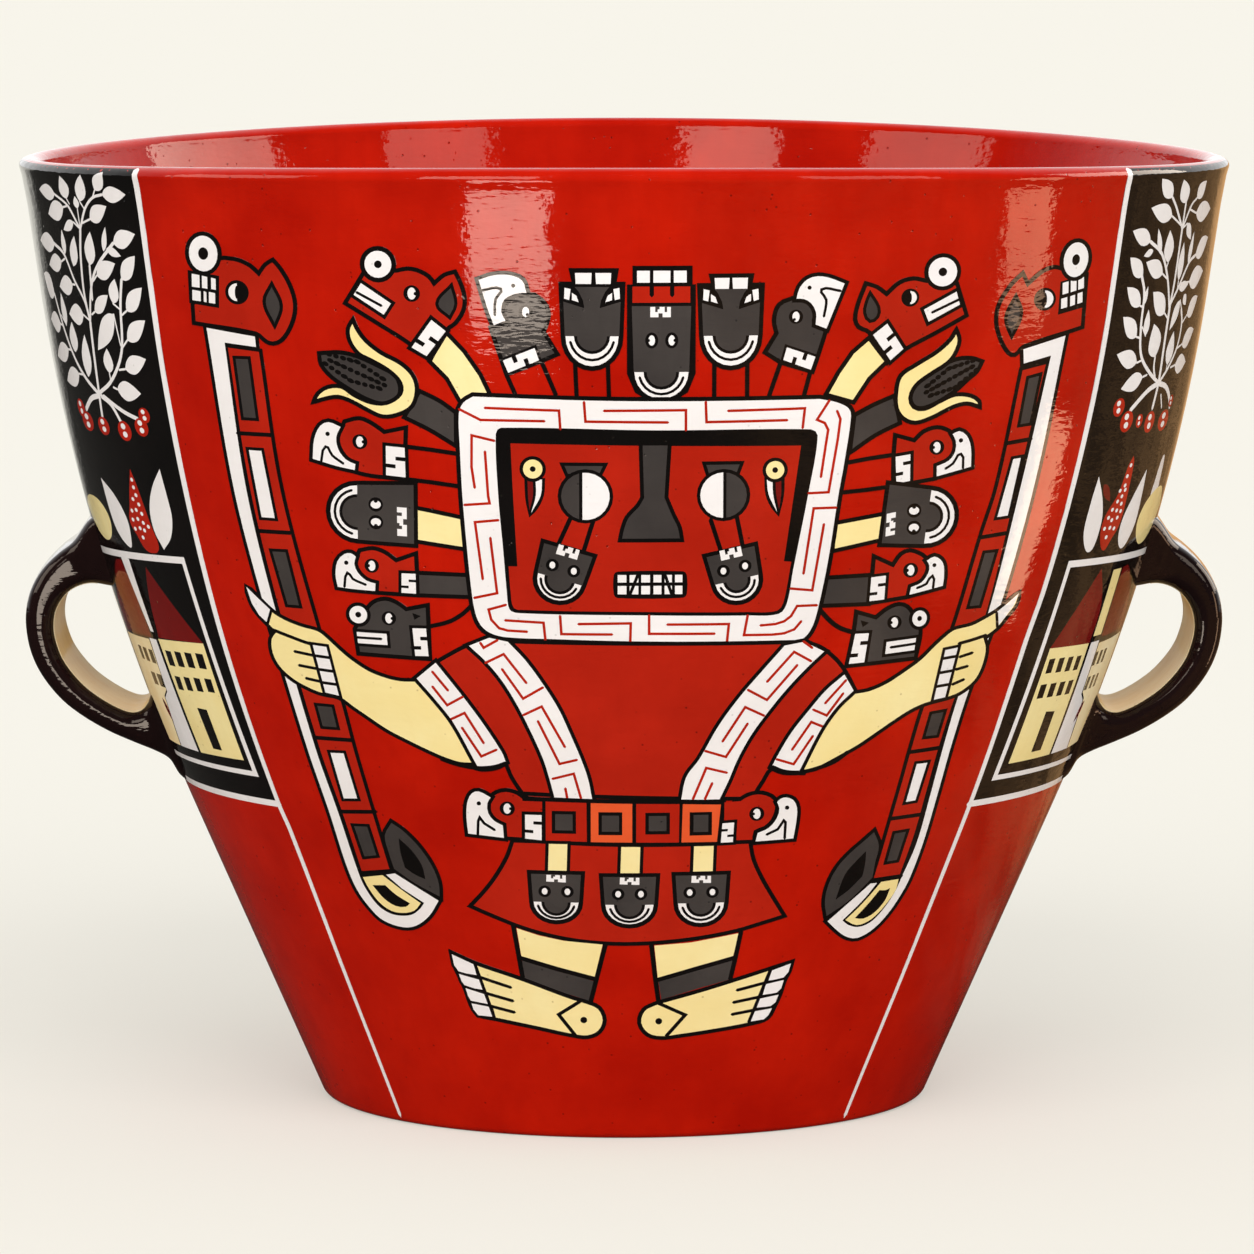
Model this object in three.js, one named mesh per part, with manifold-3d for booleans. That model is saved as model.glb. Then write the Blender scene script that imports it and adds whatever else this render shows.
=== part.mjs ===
// A large open urn of painted and glazed earthenware, hand built: a flat base slab, a wall raised in
// three courses, a rim that dips a little over the handles, and two strap handles luted on over root pads.
// Millimetres, +Z up. The origin is the middle of the foot, the handles lie along X, the painted front
// faces -Y.
import * as THREE from 'three';
import { mergeVertices } from 'three/addons/utils/BufferGeometryUtils.js';
import Module from 'manifold-3d';

const wasm = await Module();
wasm.setup();

// Vessel
const baseRadius = 200.3; // where the wall's outer line meets the ground
const mouthRadius = 400; // where the same line meets the height of the rim
const mouthFlare = 0.146; // outward run of the straight upper wall for each millimetre of height
const wallAtBase = 18; // wall thickness, measured level
const wallAtRim = 13;
const footRounding = 7;
const lipRadius = 7; // the lip is a bead, a little fatter than the wall under it
const rimDip = 9.5; // how much lower the rim lies over the handles than over front and back

const rimHeight = 634.5; // from the ground to the top of the rim, over front and back

// Heights of the pieces that are stacked up; the upper course takes what the others leave
const baseThickness = 20;
const lowerCourse = 172;
const middleCourse = 208;
const rimCourse = 34.5;

// The wall runs straight up to bendStart, steepens evenly up to bendEnd, and is straight again above it
const bendStart = 192;
const bendEnd = 540;

// Coil of clay pressed into the corner between floor and wall
const seamWidth = 30;
const seamHeight = 26;

// Handles: the strap's middle line leaves the wall at one root and comes back to it at the other
const upperRootHeight = 366;
const lowerRootHeight = 244;
const handleReach = 53; // how far the middle line stands off the wall where it stands off most
const strapThickness = 18;
const strapWidth = 112;
const strapEdge = 8; // rounding of the strap's long edges
const rootThickness = 42; // the strap swells to this where it meets the wall
const rootWidth = 136;
const upperSwell = 46; // length over which it swells, at each root
const lowerSwell = 26;
const padDepth = 12; // how far a root pad stands out along the strap

const gap = 0.3; // room for the slip between pieces that are shaped to each other

// Points along the handle: ratio of the way down from the upper root, and ratio of the reach
const handleRatios = [[0, 0], [0.1, 0.5], [0.39, 1], [0.73, 0.93], [0.91, 0.5], [1, 0]];

const roundSteps = 72; // facets round the vessel
const bendSteps = 4; // facets up each course that bends
const arcSteps = 5; // facets in each rounded edge
const strapStations = 20;

const floorHeight = baseThickness;
const lowerTop = baseThickness + lowerCourse;
const middleTop = lowerTop + middleCourse;
const upperTop = rimHeight - rimCourse;

// Outward run of the straight foot of the wall, found from the two radii
const bendLength = bendEnd - bendStart;
const upperRun = mouthFlare * (bendLength / 2 + rimHeight - bendEnd);
const footFlare = (mouthRadius - baseRadius - upperRun) / (bendStart + bendLength / 2);

const { clamp, lerp } = THREE.MathUtils;

function outerRadius(z) {
  const bent = clamp(z - bendStart, 0, bendLength);
  const straight = footFlare * Math.min(z, bendStart) + mouthFlare * Math.max(z - bendEnd, 0);
  return baseRadius + straight + footFlare * bent + (mouthFlare - footFlare) * bent ** 2 / (2 * bendLength);
}

function innerRadius(z) {
  return outerRadius(z) - lerp(wallAtBase, wallAtRim, z / rimHeight);
}

// Points of the wall's outer or inner line between two heights, lower end first
function wallLine(radius, low, high) {
  const points = [];
  for (let i = 0; i <= bendSteps; i += 1) {
    const z = lerp(low, high, i / bendSteps);
    points.push(new THREE.Vector2(radius(z), z));
  }
  return points;
}

function arc(centre, radius, from, to) {
  const points = [];
  for (let i = 0; i <= arcSteps; i += 1) {
    const angle = lerp(from, to, i / arcSteps);
    points.push(new THREE.Vector2(centre.x + radius * Math.cos(angle), centre.y + radius * Math.sin(angle)));
  }
  return points;
}

// A profile of (radius, height) turned about +Z, with the seam of the turning at the front
function turned(profile) {
  return new THREE.LatheGeometry(profile, roundSteps).rotateX(Math.PI / 2);
}

function course(low, high) {
  const outside = wallLine(outerRadius, low, high);
  const inside = wallLine(innerRadius, low, high).reverse();
  return turned([...outside, ...inside, outside[0]]);
}

function baseSlab() {
  const wallAngle = Math.atan(footFlare);
  const cornerRun = footRounding * Math.tan((Math.PI / 2 - wallAngle) / 2);
  const centre = new THREE.Vector2(baseRadius - cornerRun, footRounding);
  return turned([
    new THREE.Vector2(0, 0),
    ...arc(centre, footRounding, -Math.PI / 2, -wallAngle),
    new THREE.Vector2(outerRadius(floorHeight), floorHeight),
    new THREE.Vector2(0, floorHeight),
  ]);
}

function seamCoil() {
  const corner = new THREE.Vector2(innerRadius(floorHeight) - gap, floorHeight);
  const wallTop = new THREE.Vector2(innerRadius(floorHeight + seamHeight) - gap, floorHeight + seamHeight);
  const floorEnd = new THREE.Vector2(corner.x - seamWidth, floorHeight);
  const hollow = new THREE.QuadraticBezierCurve(wallTop, corner, floorEnd).getPoints(arcSteps);
  return turned([corner, ...hollow, corner]);
}

function rim() {
  const lipHeight = rimHeight - lipRadius;
  const lip = new THREE.Vector2((outerRadius(lipHeight) + innerRadius(lipHeight)) / 2, lipHeight);
  const wallAngle = Math.atan(mouthFlare);
  const halfWall = (outerRadius(lipHeight) - lip.x) * Math.cos(wallAngle);
  const overhang = Math.acos(Math.min(halfWall / lipRadius, 1));
  const outerFoot = new THREE.Vector2(outerRadius(upperTop), upperTop);
  const geometry = turned([
    outerFoot,
    ...arc(lip, lipRadius, -wallAngle - overhang, Math.PI / 2),
    ...arc(lip, lipRadius, Math.PI / 2, Math.PI - wallAngle + overhang).slice(1),
    new THREE.Vector2(innerRadius(upperTop), upperTop),
    outerFoot,
  ]);
  const place = geometry.attributes.position;
  for (let i = 0; i < place.count; i += 1) {
    const sideways = place.getX(i) ** 2 / (place.getX(i) ** 2 + place.getY(i) ** 2);
    const raised = (place.getZ(i) - upperTop) / rimCourse;
    place.setZ(i, place.getZ(i) - rimDip * sideways * raised);
  }
  return geometry;
}

// The middle line of the right handle, in the XZ plane
function handleLine() {
  const points = handleRatios.map(([down, out]) => {
    const z = lerp(upperRootHeight, lowerRootHeight, down);
    return new THREE.Vector3(outerRadius(z) + handleReach * out, 0, z);
  });
  return new THREE.CatmullRomCurve3(points, false, 'centripetal');
}

const middleLine = handleLine();
const handleLength = middleLine.getLength();

// How much the strap has swollen, from 0 to 1, at a distance along its middle line
function swell(distance) {
  const fromUpper = clamp(1 - distance / upperSwell, 0, 1);
  const fromLower = clamp(1 - (handleLength - distance) / lowerSwell, 0, 1);
  return Math.max(fromUpper, fromLower) ** 2;
}

// One cross-section of the strap: a rounded rectangle square to the middle line
function strapSection(distance) {
  const share = clamp(distance / handleLength, 0, 1);
  const along = middleLine.getTangentAt(share);
  const centre = middleLine.getPointAt(share).addScaledVector(along, distance - share * handleLength);
  const outward = new THREE.Vector3(-along.z, 0, along.x);
  const halfThickness = lerp(strapThickness, rootThickness, swell(distance)) / 2;
  const halfWidth = lerp(strapWidth, rootWidth, swell(distance)) / 2;
  const edge = Math.min(strapEdge, halfThickness, halfWidth);
  const section = [];
  for (let corner = 0; corner < 4; corner += 1) {
    const signY = corner === 0 || corner === 3 ? 1 : -1;
    const signOut = corner < 2 ? 1 : -1;
    const middle = new THREE.Vector2(signY * (halfWidth - edge), signOut * (halfThickness - edge));
    for (const point of arc(middle, edge, corner * Math.PI / 2, (corner + 1) * Math.PI / 2)) {
      section.push(centre.clone().addScaledVector(outward, point.y).setY(point.x));
    }
  }
  return section;
}

// A closed solid through a row of cross-sections that all have the same number of points
function lofted(sections) {
  const count = sections[0].length;
  const points = sections.flat();
  const faces = [];
  for (let s = 0; s + 1 < sections.length; s += 1) {
    for (let i = 0; i < count; i += 1) {
      const a = s * count + i;
      const b = s * count + (i + 1) % count;
      faces.push(a, b, a + count, b, b + count, a + count);
    }
  }
  const last = (sections.length - 1) * count;
  for (let i = 1; i + 1 < count; i += 1) {
    faces.push(0, i + 1, i);
    faces.push(last, last + i, last + i + 1);
  }
  const geometry = new THREE.BufferGeometry().setFromPoints(points);
  geometry.setIndex(faces);
  return geometry;
}

function strapBetween(from, to, stations) {
  const sections = [];
  for (let i = 0; i <= stations; i += 1) {
    sections.push(strapSection(lerp(from, to, i / stations)));
  }
  return lofted(sections);
}

function toSolid(geometry) {
  const bare = geometry.clone();
  bare.deleteAttribute('normal');
  bare.deleteAttribute('uv');
  const merged = mergeVertices(bare);
  return new wasm.Manifold(new wasm.Mesh({
    numProp: 3,
    vertProperties: merged.attributes.position.array,
    triVerts: Uint32Array.from(merged.index.array),
  }));
}

function toGeometry(solid) {
  const mesh = solid.getMesh();
  const geometry = new THREE.BufferGeometry();
  geometry.setAttribute('position', new THREE.BufferAttribute(mesh.vertProperties, 3));
  geometry.setIndex(new THREE.BufferAttribute(mesh.triVerts, 1));
  return geometry;
}

// The whole vessel as one filled body, a gap larger all over, to shape the root pads to
function filledVessel() {
  const outside = [lowerTop, middleTop, upperTop].flatMap((top, i) => {
    const low = [floorHeight, lowerTop, middleTop][i];
    return wallLine((z) => outerRadius(z) + gap, low, top).slice(i === 0 ? 0 : 1);
  });
  return toSolid(turned([new THREE.Vector2(0, floorHeight), ...outside, new THREE.Vector2(0, upperTop)]));
}

// A root pad starts inside the wall and is cut back to the wall's face
function rootPad(from, to) {
  return toGeometry(toSolid(strapBetween(from, to, arcSteps)).subtract(filledVessel()));
}

const redGlaze = new THREE.MeshStandardMaterial({ color: 0xc41c08, roughness: 0.12 });
const bareClay = new THREE.MeshStandardMaterial({ color: 0x9c4a2e, roughness: 0.8 });
const darkGlaze = new THREE.MeshStandardMaterial({ color: 0x2d1919, roughness: 0.12 });

const urn = new THREE.Group();

function place(name, geometry, material, turn = 0) {
  const mesh = new THREE.Mesh(geometry, material);
  mesh.name = name;
  mesh.rotation.z = turn;
  urn.add(mesh);
}

place('base_slab', baseSlab(), bareClay);
place('floor_seam_coil', seamCoil(), redGlaze);
place('lower_wall', course(floorHeight, lowerTop), redGlaze);
place('middle_wall', course(lowerTop, middleTop), redGlaze);
place('upper_wall', course(middleTop, upperTop), redGlaze);
place('rim', rim(), redGlaze);

const padInside = wallAtRim; // how far a pad's blank reaches into the wall before it is cut back
for (const [side, turn] of [['right', 0], ['left', Math.PI]]) {
  const strap = strapBetween(padDepth + gap, handleLength - padDepth - gap, strapStations);
  place(`${side}_handle_strap`, strap, darkGlaze, turn);
  place(`${side}_upper_root_pad`, rootPad(-padInside, padDepth), darkGlaze, turn);
  const end = handleLength - padDepth;
  place(`${side}_lower_root_pad`, rootPad(end, handleLength + padInside), darkGlaze, turn);
}

export default urn;
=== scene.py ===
# A large hand-built urn of red earthenware under a clear glossy glaze, painted with coloured slips.
import math

import bmesh
import bpy
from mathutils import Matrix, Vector
from mathutils.geometry import delaunay_2d_cdt


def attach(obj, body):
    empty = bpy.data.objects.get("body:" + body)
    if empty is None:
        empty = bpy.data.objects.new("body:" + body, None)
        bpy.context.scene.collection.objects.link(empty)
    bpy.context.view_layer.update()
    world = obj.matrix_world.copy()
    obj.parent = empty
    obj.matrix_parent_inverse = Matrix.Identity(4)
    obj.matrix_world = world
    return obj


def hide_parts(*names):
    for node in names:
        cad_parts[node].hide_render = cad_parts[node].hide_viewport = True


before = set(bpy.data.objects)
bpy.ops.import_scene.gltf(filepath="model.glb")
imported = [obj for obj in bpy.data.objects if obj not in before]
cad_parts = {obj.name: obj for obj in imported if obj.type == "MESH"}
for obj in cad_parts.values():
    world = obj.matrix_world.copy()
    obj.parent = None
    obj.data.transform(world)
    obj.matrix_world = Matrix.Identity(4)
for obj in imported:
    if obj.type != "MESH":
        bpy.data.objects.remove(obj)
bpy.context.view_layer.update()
bpy.ops.object.select_all(action="DESELECT")

# Wall, from the foot to the lip: coiled clay, beaten smooth and coated all over with red slip. The foot
# flares out straight, the wall steepens through its middle, and the lip is a bead that dips over the
# handles. The wall is turned here as one skin, because the potter smooths the joints of the courses away.
mm = 0.001
rim_top = 634.5
rim_joint = 600.0
rim_dip = 9.5
base_radius = 200.3
mouth_radius = 400.0
mouth_flare = 0.146
bend_start = 192.0
bend_end = 540.0
wall_at_base = 18.0
wall_at_rim = 13.0
foot_rounding = 7.0
lip_radius = 7.0
lip_depth = 16.0
floor_height = 20.0
seam_width = 30.0
seam_height = 26.0
wall_sides = 300
bend_length = bend_end - bend_start
upper_run = mouth_flare * (bend_length / 2 + rim_top - bend_end)
foot_flare = (mouth_radius - base_radius - upper_run) / (bend_start + bend_length / 2)


def wall_radius(z):
    """Outer radius of the wall, in mm, at a height in mm."""
    bent = min(max(z - bend_start, 0), bend_length)
    straight = foot_flare * min(z, bend_start) + mouth_flare * max(z - bend_end, 0)
    curved = foot_flare * bent + (mouth_flare - foot_flare) * bent**2 / (2 * bend_length)
    return base_radius + straight + curved


def inside_radius(z):
    """Inner radius of the wall, in mm, at a height in mm."""
    return wall_radius(z) - wall_at_base - (wall_at_rim - wall_at_base) * z / rim_top


def dipped(x, y, z):
    """Height, in mm, of a point of the rim once the rim is pressed down over the two handles."""
    return z - rim_dip * x**2 / (x**2 + y**2) * max(z - rim_joint, 0) / (rim_top - rim_joint)


def arc(x, z, radius, start, end, steps=10):
    """Points of a profile along an arc, in mm, between two angles in degrees."""
    angles = [math.radians(start + (end - start) * i / steps) for i in range(steps + 1)]
    return [(x + radius * math.cos(a), z + radius * math.sin(a)) for a in angles]


def wall_profile():
    """The wall's section in mm, from under the foot, up the outside, over the lip and down inside."""
    foot_angle = math.degrees(math.atan(foot_flare))
    foot_centre = base_radius - foot_rounding * math.tan(math.radians(90 - foot_angle) / 2)
    foot = [(foot_centre - 3, 1.0)] + arc(foot_centre, foot_rounding, foot_rounding, -90, -foot_angle)
    low = foot_rounding + 1
    high = rim_top - lip_depth
    outside = [(wall_radius(z), z) for z in [low + (high - low) * i / 70 for i in range(71)]]
    lip_height = rim_top - lip_radius
    lip_middle = (wall_radius(lip_height) + inside_radius(lip_height)) / 2
    mouth_angle = math.degrees(math.atan(mouth_flare))
    lip = arc(lip_middle, lip_height, lip_radius, -mouth_angle - 12, 180 - mouth_angle + 12, 22)
    seam_top = floor_height + seam_height
    inside = [(inside_radius(z), z) for z in [high + (seam_top - high) * i / 60 for i in range(61)]]
    corner = inside_radius(floor_height)
    seam = []
    for i in range(1, 9):
        t = i / 8
        start, middle, end = (1 - t) ** 2, 2 * t * (1 - t), t**2
        seam.append((
            start * inside_radius(seam_top) + middle * corner + end * (corner - seam_width),
            start * seam_top + (middle + end) * floor_height,
        ))
    return foot + outside + lip + inside + seam


def skin_round(profile):
    """Raises a skin ring by ring round the urn's axis, as an object closed at both ends."""
    radius, height = profile[0]
    bpy.ops.mesh.primitive_circle_add(
        vertices=wall_sides, radius=radius * mm, fill_type="NOTHING", location=(0, 0, height * mm)
    )
    bpy.ops.object.transform_apply(location=True)
    bpy.ops.object.mode_set(mode="EDIT")
    for (r0, z0), (r1, z1) in zip(profile, profile[1:]):
        bpy.ops.mesh.extrude_region_move(TRANSFORM_OT_translate={"value": (0, 0, (z1 - z0) * mm)})
        bpy.ops.transform.resize(value=(r1 / r0, r1 / r0, 1), center_override=(0, 0, z1 * mm))
    bpy.ops.mesh.edge_face_add()
    bpy.ops.mesh.select_all(action="DESELECT")
    bpy.ops.mesh.select_non_manifold()
    bpy.ops.mesh.edge_face_add()
    bpy.ops.mesh.select_all(action="SELECT")
    bpy.ops.mesh.normals_make_consistent(inside=False)
    bpy.ops.object.mode_set(mode="OBJECT")
    bpy.ops.object.shade_smooth_by_angle(angle=math.radians(40))
    return bpy.context.object


def pigment(red, green, blue):
    """A colour given as it is picked from a screen, in the linear values that a shader takes."""
    values = [c / 255 for c in (red, green, blue)]
    return [c / 12.92 if c <= 0.04045 else ((c + 0.055) / 1.055) ** 2.4 for c in values] + [1.0]


def glazed(name, main, clouds, flecks, gloss=0.3, pitted=1.0):
    """Slip under clear glaze: cloudy colour, dark flecks, pinholes and the marks of the wide brush."""
    finish = bpy.data.materials.new(name)
    finish.use_nodes = True
    nodes, links = finish.node_tree.nodes, finish.node_tree.links
    surface = nodes["Principled BSDF"]
    surface.inputs["Specular IOR Level"].default_value = 0.0
    surface.inputs["Coat Weight"].default_value = 1.0
    surface.inputs["Coat Roughness"].default_value = 0.05
    surface.inputs["Coat IOR"].default_value = 1.3
    place = nodes.new("ShaderNodeTexCoord").outputs["Object"]

    def noise(size, detail, squeeze=(1, 1, 1)):
        """A cloud pattern whose lumps are about a size in mm, squeezed along the axes."""
        stretch = nodes.new("ShaderNodeMapping")
        stretch.inputs["Scale"].default_value = squeeze
        links.new(place, stretch.inputs["Vector"])
        cloud = nodes.new("ShaderNodeTexNoise")
        cloud.inputs["Scale"].default_value = 1000 / size
        cloud.inputs["Detail"].default_value = detail
        cloud.inputs["Roughness"].default_value = 0.55
        links.new(stretch.outputs["Vector"], cloud.inputs["Vector"])
        return cloud.outputs["Fac"]

    def ranged(value, low, high, to_low, to_high):
        """A value moved from one range to another and held inside it."""
        step = nodes.new("ShaderNodeMapRange")
        for socket, number in zip(step.inputs[1:5], (low, high, to_low, to_high)):
            socket.default_value = number
        links.new(value, step.inputs["Value"])
        return step.outputs["Result"]

    def blended(share, under, over):
        """Two colours mixed by a share; either may be a colour or another mix."""
        mix = nodes.new("ShaderNodeMix")
        mix.data_type = "RGBA"
        links.new(share, mix.inputs["Factor"])
        for socket, value in ((mix.inputs["A"], under), (mix.inputs["B"], over)):
            if isinstance(value, list):
                socket.default_value = value
            else:
                links.new(value, socket)
        return mix.outputs["Result"]

    def product(one, other):
        """Two values multiplied."""
        step = nodes.new("ShaderNodeMath")
        step.operation = "MULTIPLY"
        for socket, value in zip(step.inputs, (one, other)):
            if isinstance(value, float):
                socket.default_value = value
            else:
                links.new(value, socket)
        return step.outputs["Value"]

    spots = nodes.new("ShaderNodeTexVoronoi")
    spots.inputs["Scale"].default_value = 1000 / 7.0
    links.new(place, spots.inputs["Vector"])
    rare = ranged(spots.outputs["Color"], 0.5, 0.7, 0.0, 1.0)
    pit = product(ranged(spots.outputs["Distance"], 0.06, 0.13, 1.0, 0.0), rare)

    cloudy = blended(ranged(noise(70, 7), 0.35, 0.68, 0.0, 1.0), main, clouds)
    brushed = blended(ranged(noise(9, 4, (1, 1, 0.12)), 0.45, 0.8, 0.0, 0.35), cloudy, clouds)
    flecked = blended(product(pit, 0.7 * pitted), brushed, flecks)
    links.new(flecked, surface.inputs["Base Color"])
    links.new(ranged(noise(40, 5), 0.3, 0.7, gloss - 0.06, gloss + 0.08), surface.inputs["Roughness"])

    bumps = None
    for height, depth in (
        (noise(52, 2, (1, 1, 0.7)), 0.42), (noise(13, 3, (1, 1, 0.8)), 0.16),
        (noise(14, 2, (1, 1, 3.5)), 0.2), (product(pit, -1.0), 0.15 * pitted),
    ):
        bump = nodes.new("ShaderNodeBump")
        bump.inputs["Strength"].default_value = 1.0
        bump.inputs["Distance"].default_value = depth * mm
        links.new(height, bump.inputs["Height"])
        if bumps:
            links.new(bumps, bump.inputs["Normal"])
        bumps = bump.outputs["Normal"]
    links.new(bumps, surface.inputs["Normal"])
    links.new(bumps, surface.inputs["Coat Normal"])
    return finish


def finished(piece, name, material):
    """Names a piece, gives it its material and tells the frame that it never moves."""
    piece.name = name
    piece.data.name = name
    piece.data.materials.clear()
    piece.data.materials.append(material)
    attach(piece, "root")
    return piece


red_glaze = glazed("red glaze", pigment(194, 26, 6), pigment(172, 17, 3), pigment(70, 8, 4))
wall = skin_round(wall_profile())
for vertex in wall.data.vertices:
    x, y, z = (c / mm for c in vertex.co)
    if z > rim_joint:
        vertex.co.z = dipped(x, y, z) * mm
finished(wall, "wall_skin", red_glaze)
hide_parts("base_slab", "floor_seam_coil", "lower_wall", "middle_wall", "upper_wall", "rim")

# Foot: the underside stays free of glaze, so that the urn doesn't stick to the kiln shelf. It is bare
# fired clay, scraped flat, with a softened edge just inside the wall's rounded foot.
bare_edge = 7.2
bare_clay = glazed(
    "bare clay", pigment(158, 78, 50), pigment(136, 62, 40), pigment(96, 46, 32), gloss=0.82
)
bare_clay.node_tree.nodes["Principled BSDF"].inputs["Coat Weight"].default_value = 0.0
bpy.ops.mesh.primitive_cylinder_add(
    vertices=160, radius=(base_radius - bare_edge) * mm, depth=2 * mm, location=(0, 0, mm)
)
bpy.ops.object.transform_apply(location=True)
bpy.ops.object.mode_set(mode="EDIT")
bpy.ops.mesh.select_all(action="DESELECT")
bpy.ops.object.mode_set(mode="OBJECT")
foot = bpy.context.object
for edge in foot.data.edges:
    ends = [foot.data.vertices[i].co for i in edge.vertices]
    edge.select = all(co.z < 0.5 * mm for co in ends)
bpy.ops.object.mode_set(mode="EDIT")
bpy.ops.mesh.bevel(offset=0.8 * mm, segments=3)
bpy.ops.object.mode_set(mode="OBJECT")
bpy.ops.object.shade_smooth_by_angle(angle=math.radians(40))
finished(foot, "foot_underside", bare_clay)

# Handles: a broad strap of clay on each side, pulled by hand, luted to the wall and smeared out wide at
# both roots. The outside is glazed nearly black; the inside of the loop keeps the cream ground.
handle_width = 112.0
root_width = 136.0
root_run = 0.15
handle_edge = 8.0
root_cover = 5.0
crown = 1.2
strap_steps = 90
lining_steps = 80
lining_start = 0.085
lining_end = 0.9
lining_inset = 6.5
lining_thickness = 0.25
lining_depth = 1.2
outer_line = [
    (342, 394), (353, 387), (363, 373), (373, 365), (381.5, 357), (388, 348), (392.8, 337), (395, 324),
    (394.5, 312), (392, 300), (387, 288), (379, 276), (368.7, 265), (355, 255), (339, 246), (323, 239),
    (309.5, 233.5), (300, 228), (293, 218), (283, 212),
]
inner_line = [
    (330, 343), (341, 344.3), (351, 345.4), (359.5, 343.6), (366.5, 339.6), (371.4, 334), (374.8, 327.6),
    (376.4, 320), (376.2, 312), (374.2, 303.6), (370.6, 294.6), (364, 285), (355, 275.5), (344, 267.5),
    (334, 262), (325.6, 259.4), (319, 260.8), (314.6, 266), (311, 274), (300, 280),
]


def handle_ring(share):
    """The strap at a share of its length, in mm: its middle, its way out and its two half sizes."""
    last = len(outer_line) - 1
    i = min(int(share * last), last - 1)
    t = share * last - i
    ends = []
    for line in (outer_line, inner_line):
        near = (line[max(i - 1, 0)], line[i], line[i + 1], line[min(i + 2, last)])
        ends.append([
            b + ((c - a) * t + (2 * a - 5 * b + 4 * c - d) * t**2 + (3 * b - a - 3 * c + d) * t**3) / 2
            for a, b, c, d in zip(*near)
        ])
    (x0, z0), (x1, z1) = ends
    thick = math.dist(*ends)
    spread = max(1 - share / root_run, 1 - (1 - share) / root_run, 0) ** 2
    wide = handle_width + (root_width - handle_width) * spread
    outward = ((x0 - x1) / thick, (z0 - z1) / thick)
    return ((x0 + x1) / 2, (z0 + z1) / 2), outward, thick / 2, wide / 2


def lofted(rings):
    """A closed skin through rings of points in mm that all have the same count."""
    skin = bmesh.new()
    rows = [[skin.verts.new([c * mm for c in point]) for point in ring] for ring in rings]
    for row, after in zip(rows, rows[1:]):
        for a, b, c, d in zip(row, row[1:] + row[:1], after[1:] + after[:1], after):
            skin.faces.new((a, b, c, d))
    skin.faces.new(rows[0])
    skin.faces.new(rows[-1])
    bmesh.ops.recalc_face_normals(skin, faces=skin.faces)
    mesh = bpy.data.meshes.new("skin")
    skin.to_mesh(mesh)
    skin.free()
    piece = bpy.data.objects.new("skin", mesh)
    bpy.context.collection.objects.link(piece)
    bpy.ops.object.select_all(action="DESELECT")
    bpy.context.view_layer.objects.active = piece
    piece.select_set(True)
    bpy.ops.object.shade_smooth_by_angle(angle=math.radians(50))
    return piece


def held_out(x, y, z):
    """A point of the strap in mm, moved out where it would come through the inside of the wall."""
    grow = max(1, (inside_radius(z) + root_cover) / math.hypot(x, y))
    return x * grow, y * grow, z


def strap_rings():
    """Rings of the whole strap: a rounded oblong that is a little crowned on its outer face."""
    rings = []
    for i in range(strap_steps + 1):
        (x, z), (ox, oz), half_thick, half_wide = handle_ring(i / strap_steps)
        edge = min(handle_edge, half_thick * 0.9)
        ring = []
        for across, out, start in ((1, 1, 0), (-1, 1, 90), (-1, -1, 180), (1, -1, 270)):
            middle = (across * (half_wide - edge), out * (half_thick - edge))
            corner = arc(*middle, edge, start, start + 90, 8)
            ring += corner
            if start in (0, 180):
                y0, d0 = corner[-1]
                rise = crown if start == 0 else 0
                shares = [1 - k / 4 for k in range(1, 8)]
                ring += [(y0 * share, d0 + rise * (1 - share**2)) for share in shares]
        rings.append([held_out(x + ox * d, y, z + oz * d) for y, d in ring])
    return rings


def lining_rings():
    """Rings of the thin cream coat on the strap's inner face, from edge to edge."""
    rings = []
    for i in range(lining_steps + 1):
        share = lining_start + (lining_end - lining_start) * i / lining_steps
        (x, z), (ox, oz), half_thick, half_wide = handle_ring(share)
        reach = half_wide - lining_inset
        face = half_thick + lining_thickness
        ring = [(-reach + reach * k / 6, -face) for k in range(13)]
        ring += [(reach - reach * k / 6, -face + lining_depth) for k in range(13)]
        rings.append([(x + ox * d, y, z + oz * d) for y, d in ring])
    return rings


dark_glaze = glazed("dark glaze", pigment(30, 16, 15), pigment(21, 11, 11), pigment(10, 6, 6), gloss=0.26)
cream_ground = glazed(
    "cream ground", pigment(246, 230, 190), pigment(234, 204, 150), pigment(150, 110, 70), pitted=0.5
)
cream_ground.node_tree.nodes["Principled BSDF"].inputs["Coat Weight"].default_value = 0.15
for side, way in (("right", 1), ("left", -1)):
    strap = lofted([[(way * x, way * y, z) for x, y, z in ring] for ring in strap_rings()])
    finished(strap, side + "_handle", dark_glaze)
    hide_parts(side + "_handle_strap", side + "_upper_root_pad", side + "_lower_root_pad")
    lining = lofted([[(way * x, way * y, z) for x, y, z in ring] for ring in lining_rings()])
    finished(lining, side + "_handle_lining", cream_ground)

# Painted decoration: coloured slips brushed on the red wall before the glaze, each colour outlined in
# black. It is drawn here in mm, one outline over another, and laid on the wall further down. Points
# of the figure are given as seen from the front, and points of the side panels round the wall.
unrolled = 360.0
outline_width = 2.7
fine_width = 1.7
edge_width = 2.4
longest_edge = 9.0
curve_step = 3.4
hook_slot = 0.13
sharp = True
painting = []


def parted(outline):
    """The outline with no edge longer than a few mm, so that it can bend with the wall."""
    points = []
    for (x0, z0), (x1, z1) in zip(outline, outline[1:] + outline[:1]):
        parts = max(1, math.ceil(math.hypot(x1 - x0, z1 - z0) / longest_edge))
        points += [(x0 + (x1 - x0) * i / parts, z0 + (z1 - z0) * i / parts) for i in range(parts)]
    return points


def on_side(colour, outline):
    """Paints an outline whose points are mm round the unrolled wall and mm of height."""
    painting.append((colour, parted(outline)))


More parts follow.
